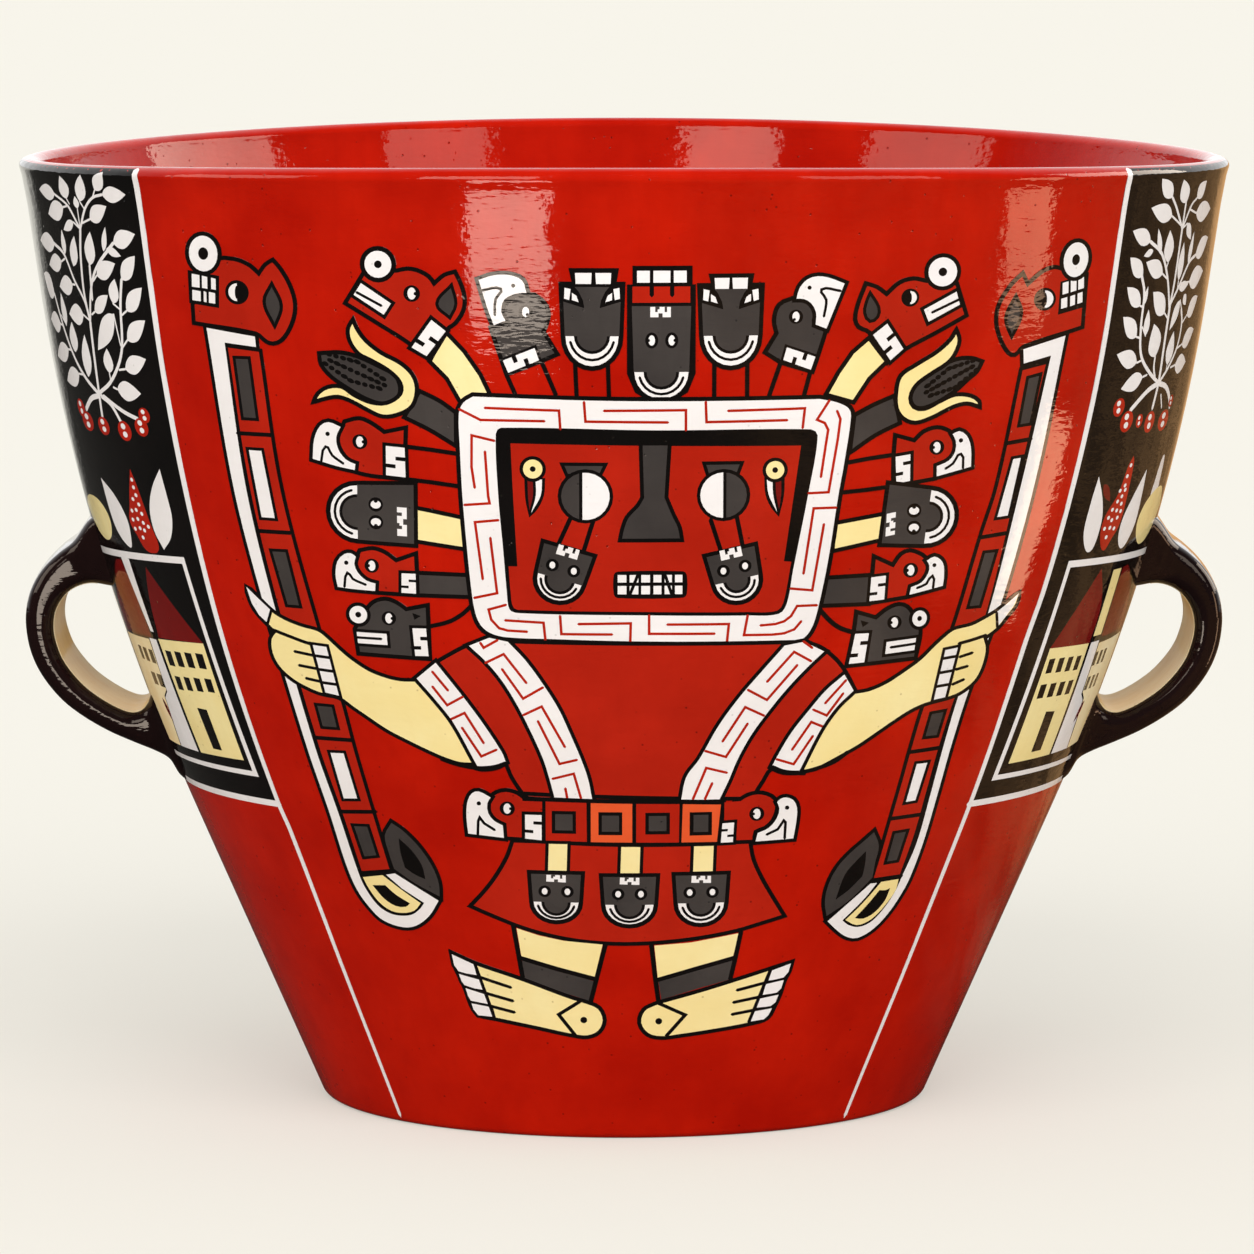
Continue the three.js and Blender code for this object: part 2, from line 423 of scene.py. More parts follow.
def on_front(colour, outline):
    """Paints an outline drawn as it is seen from the front."""
    painting.append((colour, [(unrolled * math.asin(x / wall_radius(z)), z) for x, z in parted(outline)]))


def curve(points, closed=True):
    """A smooth line through the points. A point with a third value is a sharp corner."""
    count = len(points)
    line = []
    for i in range(count if closed else count - 1):
        start = points[i]
        end = points[(i + 1) % count]
        chord = math.dist(start[:2], end[:2])
        before = points[i - 1]
        after = points[(i + 2) % count]
        if len(start) > 2 or (i == 0 and not closed):
            before = start
        if len(end) > 2 or (i == count - 2 and not closed):
            after = end
        lead = math.dist(before[:2], end[:2])
        follow = math.dist(start[:2], after[:2])
        parts = max(2, math.ceil(chord / curve_step))
        for k in range(parts):
            t = k / parts
            a, b, c, d = 2 * t**3 - 3 * t**2 + 1, t**3 - 2 * t**2 + t, 3 * t**2 - 2 * t**3, t**3 - t**2
            line.append(tuple(
                a * start[j] + b * chord * (end[j] - before[j]) / lead
                + c * end[j] + d * chord * (after[j] - start[j]) / follow
                for j in (0, 1)
            ))
    if not closed:
        line.append(tuple(points[-1][:2]))
    return line


def side_step(a, b, distance):
    """A step of a distance square to the line from a to b, to its right."""
    length = math.dist(a, b) or 1.0
    return (b[1] - a[1]) * distance / length, (a[0] - b[0]) * distance / length


def shifted(before, point, after, distance):
    """The point of a line moved to its right, so that both lines that meet there keep the distance."""
    x0, z0 = side_step(before, point, 1.0)
    x1, z1 = side_step(point, after, 1.0)
    scale = distance / max(1 + x0 * x1 + z0 * z1, 0.45)
    return point[0] + (x0 + x1) * scale, point[1] + (z0 + z1) * scale


def grown(outline, distance):
    """A closed outline moved outwards all round by a distance, or inwards by a negative one."""
    neighbours = list(zip(outline[-1:] + outline[:-1], outline, outline[1:] + outline[:1]))
    area = sum(a[0] * b[1] - b[0] * a[1] for a, b, _ in neighbours)
    return [shifted(a, b, c, distance if area > 0 else -distance) for a, b, c in neighbours]


def stroke(points, width):
    """Outline of one brush stroke along an open line, with blunt round ends."""
    points = [p[:2] for p in points]
    before = [(2 * points[0][0] - points[1][0], 2 * points[0][1] - points[1][1])] + points[:-1]
    after = points[1:] + [(2 * points[-1][0] - points[-2][0], 2 * points[-1][1] - points[-2][1])]
    right = [shifted(a, b, c, width / 2) for a, b, c in zip(before, points, after)]
    left = [shifted(a, b, c, -width / 2) for a, b, c in zip(before, points, after)]
    tips = []
    for a, b in ((points[-2], points[-1]), (points[1], points[0])):
        reach = width / 2 / (math.dist(a, b) or 1.0)
        tips.append((b[0] + (b[0] - a[0]) * reach, b[1] + (b[1] - a[1]) * reach))
    return right + [tips[0]] + left[::-1] + [tips[1]]


def disc(x, z, width, height=None, turn=0.0, start=0.0, end=360.0):
    """An oval of two radii, turned by degrees, or the part of it between two angles."""
    height = width if height is None else height
    steps = max(6, round((end - start) / 15))
    angles = [math.radians(start + (end - start) * i / steps) for i in range(steps + (end - start < 360))]
    c, s = math.cos(math.radians(turn)), math.sin(math.radians(turn))
    local = [(width * math.cos(a), height * math.sin(a)) for a in angles]
    return [(x + c * u - s * v, z + s * u + c * v) for u, v in local]


def ink(points, width=outline_width, smooth=False):
    """A black brush stroke on the front."""
    on_front("black", stroke(curve(points, closed=False) if smooth else points, width))


def filled(*fills, line=outline_width):
    """Areas of colour, each with a black line round it that lies outside the colour."""
    for _, outline in fills:
        on_front("black", grown(outline, line))
    for colour, outline in fills:
        on_front(colour, outline)


def outlined(colour, outline, line=outline_width):
    """An area of colour under a black line that runs along its edge."""
    on_front("black", grown(outline, line / 2))
    on_front(colour, grown(outline, -line / 2))


def between(corners, across, down):
    """A point of a field with four corners, clockwise from the upper left, by its shares of the way."""
    (x0, z0), (x1, z1), (x2, z2), (x3, z3) = corners
    top = (x0 + (x1 - x0) * across, z0 + (z1 - z0) * across)
    low = (x3 + (x2 - x3) * across, z3 + (z2 - z3) * across)
    return top[0] + (low[0] - top[0]) * down, top[1] + (low[1] - top[1]) * down


def hooked(corners, right, left, border):
    """The white S of two hooks: a field with one slot cut in from each side."""
    on_front("black", grown(corners, border))
    shares = [(0, 0), (1, 0), (1, right), (0.5, right), (0.5, right + hook_slot), (1, right + hook_slot)]
    shares += [(1, 1), (0, 1), (0, left + hook_slot), (0.5, left + hook_slot), (0.5, left), (0, left)]
    on_front("white", [between(corners, u, v) for u, v in shares])


def toothed(corners):
    """The white W: a bar with two slots cut in from its top and one from its foot."""
    shares = [
        (0, 0), (0.24, 0), (0.24, 0.5), (0.36, 0.5), (0.36, 0.24), (0.45, 0.24), (0.45, 0), (0.7, 0),
        (0.7, 0.5), (0.82, 0.5), (0.82, 0), (1, 0), (1, 1), (0.6, 1), (0.6, 0.62), (0.4, 0.62), (0.4, 1),
        (0, 1),
    ]
    on_front("white", [between(corners, u, v) for u, v in shares])

# Side panels: the wall under and round each handle is painted black between two white lines that run
# from the lip to the foot. A framed house stands on the low part, and a tree in leaf fills the rest.
side_line_left = [
    (-317, 632), (-316, 560), (-314, 430), (-312, 320), (-306, 217), (-303, 200), (-298, 100), (-290, 6),
]
side_line_right = [
    (334, 632), (331, 520), (325, 430), (319, 360), (313, 320), (307, 216), (298, 100), (285, 6),
]
side_line_width = 5.0
quarter_turn = unrolled * math.pi / 2
panel_top = 633.0
panel_foot = 217.0
foot_line_width = 4.2
frame_width = 4.6
frame_back = 369.0
twig_width = 1.4
dot = (2.0, 1.3)


def half_panel(side, line):
    """One half of a side panel, from its white line to the middle of the handle."""
    edge = curve([p for p in line if p[1] >= panel_foot], closed=False)
    reach = side * quarter_turn
    foot = [(side * 307, panel_foot), (reach, panel_foot)]
    on_side("black", edge + foot + [(reach, panel_top), (edge[0][0], panel_top)])
    ground = [(side * 518, 268), (side * 514, 300), (side * 518, 345)]
    on_side("cream", ground + [(reach, 347), (reach, 265)])
    on_side("white", stroke(curve(line, closed=False), side_line_width))
    on_side("white", stroke([(side * 305, panel_foot), (reach, panel_foot)], foot_line_width))


def house_frame(side, corner, foot):
    """The white frame round the house, as far as the middle of the handle."""
    reach = side * quarter_turn
    outer = [(reach, frame_back), corner, foot, (reach, foot[1] - 1)]
    inner = [(reach, foot[1] + 2), (foot[0] + side * 6, foot[1] + 3.4)]
    inner += [(corner[0] + side * 4, corner[1] - frame_width), (reach, frame_back - frame_width)]
    on_side("white", outer + inner)


def leaf(root, tip, width, twig=None, colour="white"):
    """A pointed leaf from its root to its tip, on a twig of its own where it has one."""
    if twig:
        on_side("white", stroke([twig, root], twig_width))
    along = (tip[0] - root[0], tip[1] - root[1])
    across = (along[1] * width / math.hypot(*along), -along[0] * width / math.hypot(*along))
    sides = []
    for share, out in ((0.14, 0.31), (0.4, 0.5), (0.72, 0.33)):
        middle = (root[0] + along[0] * share, root[1] + along[1] * share)
        right = (middle[0] + across[0] * out, middle[1] + across[1] * out)
        left = (middle[0] - across[0] * out, middle[1] - across[1] * out)
        sides = [right] + sides + [left]
    on_side(colour, curve([(*tip, sharp)] + sides[:3] + [(*root, sharp)] + sides[3:]))


def dots(places, size=dot):
    """White dots of one size."""
    for x, z in places:
        on_side("white", disc(x, z, *size))


def windows(count, first, pitch, top, fall, width, height):
    """A row of black windows that follows the slope of its wall."""
    for i in range(count):
        x, z = first + pitch * i, top - fall * i
        on_side("black", [(x, z), (x + width, z), (x + width, z - height), (x, z - height)])


def tree(stems, leaves, berries):
    """A tree: its stems from thick to thin, its leaves, and the red fruit that hang at its roots."""
    for width, line in stems:
        on_side("white", stroke(curve(line, closed=False), width))
    for shape in leaves:
        leaf(*shape)
    for x, z, width, height in berries:
        on_side("red", disc(x, z, width, height))
        dots([(x - 1, z + height * 0.45), (x, z - height * 0.35)], (width * 0.34, height * 0.3))


for side, line in ((-1, side_line_left), (1, side_line_right)):
    half_panel(side, line)
house_frame(-1, (-333, 378), (-320, 234))
house_frame(1, (340, 375), (325, 231))

left_stems = [
    (3.2, [(-403, 464), (-399, 492), (-395, 526)]),
    (2.8, [(-395, 526), (-398, 545), (-395, 569), (-390, 586)]),
    (2.4, [(-395, 526), (-399, 539), (-411, 552), (-423, 568), (-440, 574)]),
    (2.4, [(-395, 526), (-387, 547), (-376, 561), (-350, 579)]),
    (2.2, [(-390, 586), (-405, 601), (-424, 609)]),
    (2.2, [(-390, 586), (-379, 600), (-367, 609), (-355, 612)]),
    (3.0, [(-401, 479), (-419, 488), (-434, 500), (-447, 518), (-458, 540)]),
    (2.6, [(-399, 480), (-380, 488), (-364, 501), (-356, 514), (-351, 540), (-346, 556)]),
    (2.6, [(-387, 541), (-384, 563)]),
    (3.4, [(-401, 478), (-416, 475), (-431, 467)]),
    (3.0, [(-398, 478), (-385, 473), (-375, 462)]),
    (2.8, [(-394, 478), (-370, 470), (-352, 466)]),
]
left_leaves = [
    ((-423, 609), (-455, 611), 14),
    ((-412, 599), (-443, 593), 14, (-406, 600)),
    ((-399, 590), (-417, 584), 7, (-390, 586)),
    ((-404, 606), (-408, 625), 16, (-401, 602)),
    ((-385, 605), (-377, 627), 14, (-380, 599)),
    ((-390, 599), (-391, 609), 8, (-390, 586)),
    ((-363, 615), (-350, 630), 12, (-367, 609)),
    ((-355, 612), (-329, 613), 13),
    ((-375, 593), (-352, 603), 12, (-386, 590)),
    ((-350, 579), (-325, 586), 12),
    ((-363, 573), (-357, 589), 6),
    ((-359, 575), (-343, 571), 6),
    ((-346, 556), (-328, 572), 12),
    ((-376, 557), (-351, 566), 12, (-382, 553)),
    ((-384, 563), (-377, 585), 14),
    ((-409, 561), (-401, 581), 12),
    ((-421, 568), (-421, 584), 8),
    ((-439, 574), (-477, 574), 13),
    ((-430, 563), (-460, 559), 12, (-423, 565)),
    ((-415, 549), (-442, 546), 13, (-411, 549)),
    ((-404, 530), (-430, 529), 14, (-396, 527)),
    ((-386, 533), (-365, 545), 10, (-391, 531)),
    ((-360, 540), (-354, 556), 12, (-351, 536)),
    ((-345, 536), (-325, 552), 12, (-351, 533)),
    ((-349, 517), (-326, 531), 12, (-356, 512)),
    ((-361, 533), (-390, 508), 15, (-358, 513)),
    ((-379, 494), (-377, 510), 13, (-379, 488)),
    ((-357, 498), (-331, 506), 12, (-365, 497)),
    ((-372, 484), (-343, 483), 13, (-377, 485)),
    ((-431, 490), (-465, 483), 13, (-424, 490)),
    ((-445, 505), (-482, 498), 13, (-440, 505)),
    ((-454, 521), (-483, 522), 14, (-449, 520)),
    ((-458, 540), (-483, 552), 17),
    ((-440, 521), (-442, 542), 11, (-449, 527)),
    ((-431, 504), (-428, 524), 15),
    ((-414, 489), (-408, 517), 15),
]
left_berries = [
    (-442, 467, 8, 6), (-433, 459, 11, 6.5), (-404, 458, 9, 6), (-373, 457, 9, 6.5), (-350, 461, 8, 6),
    (-344, 469, 6.5, 5),
]
tree(left_stems, left_leaves, left_berries)

right_stems = [
    (3.4, [(412, 469), (414, 485), (412, 510), (411, 536)]),
    (2.8, [(411, 536), (413, 550), (413, 585)]),
    (2.4, [(411, 533), (401, 553), (387, 570), (369, 579)]),
    (2.4, [(411, 536), (421, 546), (436, 562), (448, 566)]),
    (2.2, [(413, 585), (396, 602), (390, 608)]),
    (2.4, [(413, 585), (413, 602)]),
    (2.2, [(413, 585), (424, 600), (432, 605)]),
    (2.6, [(414, 485), (394, 494), (378, 506), (372, 524), (370, 546), (364, 557)]),
    (2.6, [(414, 485), (428, 495), (439, 508), (440, 522), (434, 532)]),
    (2.2, [(406, 489), (401, 496), (400, 503)]),
    (3.6, [(414, 485), (400, 482), (389, 477), (377, 470)]),
    (3.4, [(414, 485), (429, 482), (440, 476), (449, 467)]),
    (1.6, [(423, 477), (430, 468)]),
]
right_leaves = [
    ((390, 608), (371, 624), 13),
    ((413, 602), (402, 622), 15),
    ((432, 605), (446, 619), 15),
    ((394, 594), (364, 601), 13, (411, 587)),
    ((435, 594), (470, 595), 14, (422, 597)),
    ((421, 588), (432, 577), 8, (413, 585)),
    ((369, 579), (346, 587), 11),
    ((385, 570), (377, 587), 6),
    ((398, 564), (394, 585), 14, (396, 560)),
    ((374, 573), (363, 570), 5),
    ((365, 557), (347, 570), 11),
    ((392, 557), (367, 566), 12, (401, 553)),
    ((420, 551), (420, 576), 10, (420, 546)),
    ((434, 561), (437, 582), 7),
    ((448, 566), (477, 576), 14),
    ((367, 538), (348, 551), 11, (371, 537)),
    ((371, 538), (374, 550), 5),
    ((404, 531), (382, 546), 14, (411, 527)),
    ((423, 546), (441, 548), 7),
    ((435, 541), (442, 534), 7),
    ((442, 549), (477, 554), 15, (424, 549)),
    ((368, 518), (348, 532), 12, (373, 517)),
    ((380, 518), (379, 535), 8, (374, 524)),
    ((429, 538), (417, 519), 10, (434, 532)),
    ((449, 527), (472, 538), 13, (440, 522)),
    ((400, 503), (390, 525), 18),
    ((424, 496), (426, 518), 14, (424, 492)),
    ((449, 508), (477, 516), 13, (439, 506)),
    ((441, 495), (469, 495), 13, (432, 494)),
    ((374, 501), (347, 508), 12, (380, 502)),
    ((386, 491), (359, 485), 12, (392, 492)),
]
right_berries = [
    (361, 473, 7, 6), (375, 463, 8.5, 7), (394, 462, 5, 4.5), (412, 460, 8.5, 7), (440, 459, 11, 7),
    (449, 471, 5, 4),
]
tree(right_stems, right_leaves, right_berries)

on_side("white", curve([
    (-356, 381, sharp), (-363, 393), (-362, 407), (-353, 421), (-338, 435, sharp),
    (-336, 415), (-336, 403), (-343, 390),
]))
on_side("red", curve([
    (-377, 432, sharp), (-385, 418), (-391, 407), (-397, 396), (-391, 388), (-383, 379),
    (-368, 378), (-362, 383), (-366, 397), (-373, 423),
]))
dots([
    (-378, 425), (-378, 420), (-377, 415), (-383, 412), (-376, 409), (-389, 404), (-382, 405),
    (-375, 403), (-391, 398), (-383, 399), (-376, 397), (-370, 395), (-391, 392), (-383, 393),
    (-377, 392), (-382, 387),
])
on_side("white", curve([
    (-408, 378), (-425, 386), (-431, 398), (-433, 422, sharp), (-413, 412), (-401, 397), (-403, 384),
]))
on_side("yellow", curve([
    (-437, 393), (-446, 382), (-466, 379), (-490, 386), (-510, 399, sharp), (-488, 406), (-462, 407),
    (-444, 402),
]))
on_side("white", curve([
    (365, 379), (351, 390), (350, 410), (353, 429, sharp), (366, 411), (371, 396),
]))
leaf((362, 423), (376, 411), 7, colour="maroon")
on_side("red", curve([
    (397, 439, sharp), (392, 433), (386, 415), (374, 401), (374, 389), (385, 378),
    (394, 386), (401, 394), (402, 410), (400, 435),
]))
dots([
    (396, 433), (394, 426), (394, 420), (388, 417), (396, 417), (393, 413), (388, 410), (395, 408),
    (383, 405), (390, 404), (397, 403), (380, 400), (386, 398), (394, 399), (378, 393), (386, 393),
    (393, 392), (384, 387),
])
on_side("white", curve([
    (415, 377), (405, 385), (404, 397), (413, 411), (428, 428, sharp), (431, 410), (432, 392), (424, 380),
]))
on_side("white", curve([(455, 405), (456, 420), (462, 434), (468, 433), (471, 420), (471, 405)]))
on_side("yellow", curve([
    (437, 394), (446, 405), (468, 412), (490, 411), (508, 398, sharp), (486, 382), (460, 376), (443, 383),
]))

on_side("yellow", [(-338, 321), (-333, 244), (-402, 243), (-408, 318)])
windows(4, -343, -16.2, 313.5, 0.8, -10.2, 10)
windows(4, -342, -16.2, 297, 0.9, -9.4, 9)
on_side("black", [(-378, 275), (-363, 275), (-361, 248), (-375, 248)])
on_side("maroon", curve([
    (-338, 321, sharp), (-391, 367, sharp), (-397, 355), (-402, 340), (-406, 319, sharp),
]))
on_side("white", [(-427, 317), (-413, 317), (-407, 243), (-448, 243), (-440, 276), (-429, 281)])
# The post between the two roofs is real paint, the same post that is yellow on the right house; its white
# here is a painted reflection, the streak of a window in the glaze lying over the post.
on_side("white", [(-436, 370), (-419, 370), (-413, 322), (-419, 322)])
on_side("cream", [(-429, 316), (-505, 314), (-505, 243), (-450, 243), (-441, 277), (-430, 282)])
windows(3, -431, -15.4, 308.4, 0, -9.6, 9.2)
windows(2, -430, -16, 292, 0, -11.5, 8.5)
leaf((-451, 275), (-443, 259), 7, colour="maroon")
on_side("maroon", curve([
    (-421, 318, sharp), (-429, 350), (-437, 368, sharp), (-455, 365), (-505, 326, sharp),
    (-505, 316, sharp),
]))

on_side("yellow", [(347, 317), (409, 315), (409, 241), (341, 241)])
windows(4, 351, 14.5, 309.5, 0.6, 8.3, 9.6)
windows(4, 350, 14.8, 292.6, 0.4, 8.8, 9.3)
on_side("black", [(372, 273), (387, 272), (387, 246), (371, 246)])
on_side("maroon", curve([
    (347, 317, sharp), (384, 359), (391, 366, sharp), (410, 339), (410, 315, sharp),
]))
on_side("yellow", [(414, 363), (430, 363), (430, 319), (414, 319)])
on_side("white", [(414, 315), (431, 315), (433, 279), (443, 274), (452, 241), (413, 241)])
on_side("cream", [(433, 313), (505, 314), (505, 242), (454, 241), (445, 275), (435, 280)])
windows(3, 433, 12, 306.8, 0, 7, 9.3)
windows(3, 436, 12, 290, 0, 7, 9)
leaf((450, 273), (440, 259), 7, colour="maroon")
on_side("maroon", curve([
    (433, 317, sharp), (433, 363, sharp), (447, 363), (505, 326, sharp), (505, 317, sharp),
]))

# The two staffs of the figure: a white outer edge that hooks round a leaf at the foot, a dark red shaft
# with a row of boxes, and a puma's head on top. Every field is one colour of slip inside a black line.
def eye(x, z, size, look, white):
    """A round black eye with its white: a half moon on the side that look says, with a notch."""
    on_front("black", disc(x, z, size))
    on_front("white", disc(x, z, white, start=look - 90, end=look + 90))
    on_front("black", disc(x, z, white * 0.25, white * 0.75))


def small_eye(x, z, size, look):
    """A round black eye with a white oval, notched on the side away from look."""
    away = math.radians(look + 180)
    notch = (x + math.cos(away) * size * 0.45, z + math.sin(away) * size * 0.45)
    on_front("black", disc(x, z, size))
    on_front("white", disc(x, z, size * 0.5, size * 0.72))
    on_front("black", disc(*notch, size * 0.22))


def ring(x, z, white, pupil, line, height=1.0, turn=0.0):
    """A nose or ear disc: a black pupil in a white oval in a black line."""
    on_front("black", disc(x, z, white + line, white * height + line, turn))
    on_front("white", disc(x, z, white, white * height, turn))
    on_front("black", disc(x, z, pupil, pupil * height, turn))


def boxed(colour, corners, rim=2.0):
    """A coloured box in a black frame, from the frame's outer corners."""
    on_front("black", corners)
    on_front(colour, grown(corners, -rim))


# Left staff
filled(
    ("white", curve([
        (-261.5, 529.4, sharp), (-230, 525.6, sharp), (-229.4, 519, sharp), (-249.8, 520.7, sharp),
        (-237.9, 430), (-220.6, 352), (-196.3, 260), (-182.2, 216.6), (-171, 179.7), (-166.2, 167),
        (-157.8, 154.8), (-150.2, 149.9), (-142.6, 148.8), (-135, 150.4), (-129.6, 155.3),
        (-127.4, 159.1, sharp), (-141.5, 167.8, sharp), (-151.8, 176.5, sharp), (-145.9, 177.9, sharp),
        (-118, 161.3, sharp), (-124.2, 150.4), (-132.8, 142.8), (-141.5, 140.9), (-154.5, 144.5),
        (-163.2, 152.6), (-170.8, 163.4), (-177.5, 179.7), (-188.2, 216.6), (-201.9, 260),
        (-229.8, 360.6), (-246.2, 430),
    ])),
    ("red", curve([
        (-247.6, 517.6, sharp), (-227.6, 516, sharp), (-215.5, 430), (-193.2, 340.5), (-179.1, 293.3),
        (-171, 260), (-161.4, 224.2), (-149.5, 180.6, sharp), (-167.6, 177.4, sharp), (-179.3, 216.6),
        (-193.4, 260), (-217.9, 352), (-235.2, 430),
    ])),
    ("grey", curve([
        (-147.6, 212.6, sharp), (-140.4, 207.9), (-130.7, 198.2), (-122, 185.1), (-117.7, 173.2),
        (-117.3, 164.3, sharp), (-132.8, 172.1), (-146.4, 181, sharp), (-149.9, 192.7), (-152, 203.6),
    ])),
    ("yellow", curve([
        (-167, 173.2, sharp), (-154, 175.9, sharp), (-141.5, 166.7), (-129.6, 158.7, sharp),
        (-133.9, 153.1), (-141.5, 150.9), (-149.1, 151.7), (-156.7, 156.9), (-163.2, 165.6),
    ])),
    line=2.3,
)
on_front("black", curve([
    (-160.8, 168.3, sharp), (-152.4, 169.1, sharp), (-145.9, 163.4), (-136.6, 158, sharp),
    (-139.3, 155.3), (-145.9, 155.3), (-153.4, 159.7),
]))
on_front("black", curve([
    (-143.1, 202.5, sharp), (-135, 194.9), (-128.5, 185.1), (-126.3, 175.6, sharp), (-132.8, 178.1),
    (-139.3, 182.4, sharp), (-142.1, 192.7),
]))
boxed("grey", [(-245, 512.7), (-233, 513), (-228, 471.7), (-239.9, 471.7)])
boxed("white", [(-237.6, 454.8), (-225.4, 454.8), (-216.8, 407.9), (-229.4, 407.9)])
boxed("grey", [(-223.8, 389.9), (-211.1, 390.2), (-202.1, 351.9), (-213.5, 351.9)])
boxed("grey", [(-196.7, 290), (-183.1, 289.8), (-179.3, 272.7), (-192.4, 272.5)])
boxed("white", [(-188.8, 258.8), (-176.2, 259.4), (-166.9, 225.6), (-179.7, 224.4)])
boxed("grey", [(-174.6, 209.9), (-161.9, 210.6), (-155.3, 187.9), (-167, 185.4)])
for a, b in (
    ((-242.3, 463.2), (-220.6, 463.4)), ((-230.3, 400.7), (-209.2, 401)),
    ((-195.6, 266.3), (-172.3, 266.7)), ((-180.6, 217.2), (-157.8, 219.3)),
):
    ink([a, b])

# Right staff
filled(
    ("white", curve([
        (249.9, 516.4, sharp), (277.6, 523.3, sharp), (259.4, 430), (238.8, 351.9), (218.9, 295.5),
        (208.5, 260), (200.3, 227.5), (191.7, 194.9), (183.5, 171), (178.1, 160.2), (169.4, 147.2),
        (159.7, 137.4), (149.9, 132.5), (143.4, 133.6), (136.9, 138.5), (130, 146.1, sharp),
        (157.5, 169.7, sharp), (161.8, 169.7, sharp), (154.2, 160.2), (145.6, 151.5),
        (139.6, 145.9, sharp), (143.4, 142.3), (149.9, 140.1), (157.5, 142.3), (165.1, 149.3),
        (172.7, 160.2), (177.6, 171), (187.3, 194.9), (195.5, 227.5), (203.3, 260), (212.2, 292.8),
        (230.1, 345.4), (250.4, 430), (268.2, 511.2, sharp), (250.3, 507.3, sharp),
    ])),
    ("red", curve([
        (249.6, 503, sharp), (264.8, 505.8, sharp), (247.6, 430), (228.9, 346.5), (209.8, 292.2),
        (200.2, 260), (193.1, 231.8), (185.5, 201.4), (176.6, 173.8, sharp), (159.6, 173.2, sharp),
        (164.3, 190.6), (170.8, 215.5), (177.3, 240.5), (182.2, 260), (190, 287.9), (208.3, 338.9),
        (225, 397.5), (235, 430),
    ])),
    ("grey", curve([
        (159.1, 205.2, sharp), (152.1, 199.2), (143.4, 191.7), (135.8, 183), (130.4, 172.1), (128, 160.2),
        (129.3, 149.8, sharp), (143.4, 159.1), (158.6, 173.6, sharp), (160.2, 184.1), (162.4, 195.5),
    ])),
    ("yellow", curve([
        (164.5, 170.1, sharp), (175.9, 170.8, sharp), (174.3, 163.4), (169.4, 155.9), (162.9, 148.3),
        (156.4, 143.4), (148.8, 141.6), (141.6, 145.9, sharp), (149.9, 153.7), (157.5, 161.8),
    ])),
    line=2.3,
)
on_front("black", curve([
    (163.5, 164.5, sharp), (167.3, 164), (170.5, 165.1, sharp), (167.3, 156.9), (160.7, 149.3),
    (153.2, 145.6), (147.7, 146.6, sharp), (156.4, 155.9),
]))
on_front("black", curve([
    (154.2, 192.7, sharp), (147.7, 186.2), (140.7, 177.6), (134.9, 160.7, sharp), (143.4, 166.7),
    (152.1, 175.4, sharp), (153.7, 184.1),
]))
boxed("grey", [(252.1, 499.1), (263.1, 501.3), (256.4, 467.1), (246.4, 466.3)])
boxed("white", [(243.1, 448.1), (252.1, 449), (243.4, 407.9), (232.3, 407.2)])
boxed("grey", [(225.8, 388.2), (236.6, 388.5), (225.8, 350.3), (215.5, 350.3)])
boxed("grey", [(193.5, 284.1), (205.4, 285.2), (200, 265.8), (188.6, 265.6)])
boxed("white", [(184.4, 251.3), (195.5, 251.5), (187.1, 222.6), (176.8, 221.8)])
boxed("grey", [(171.1, 204.7), (182.7, 205.5), (175.9, 182.4), (165.4, 181.7)])
for a, b in (
    ((240.1, 456.8), (256, 458.4)), ((224.2, 396.9), (241.6, 398.4)), ((180.8, 257.8), (200.9, 258.9)),
    ((169.4, 213.4), (189.5, 214.2)), ((158, 171.9), (177.6, 172.7)),
):
    ink([a, b])

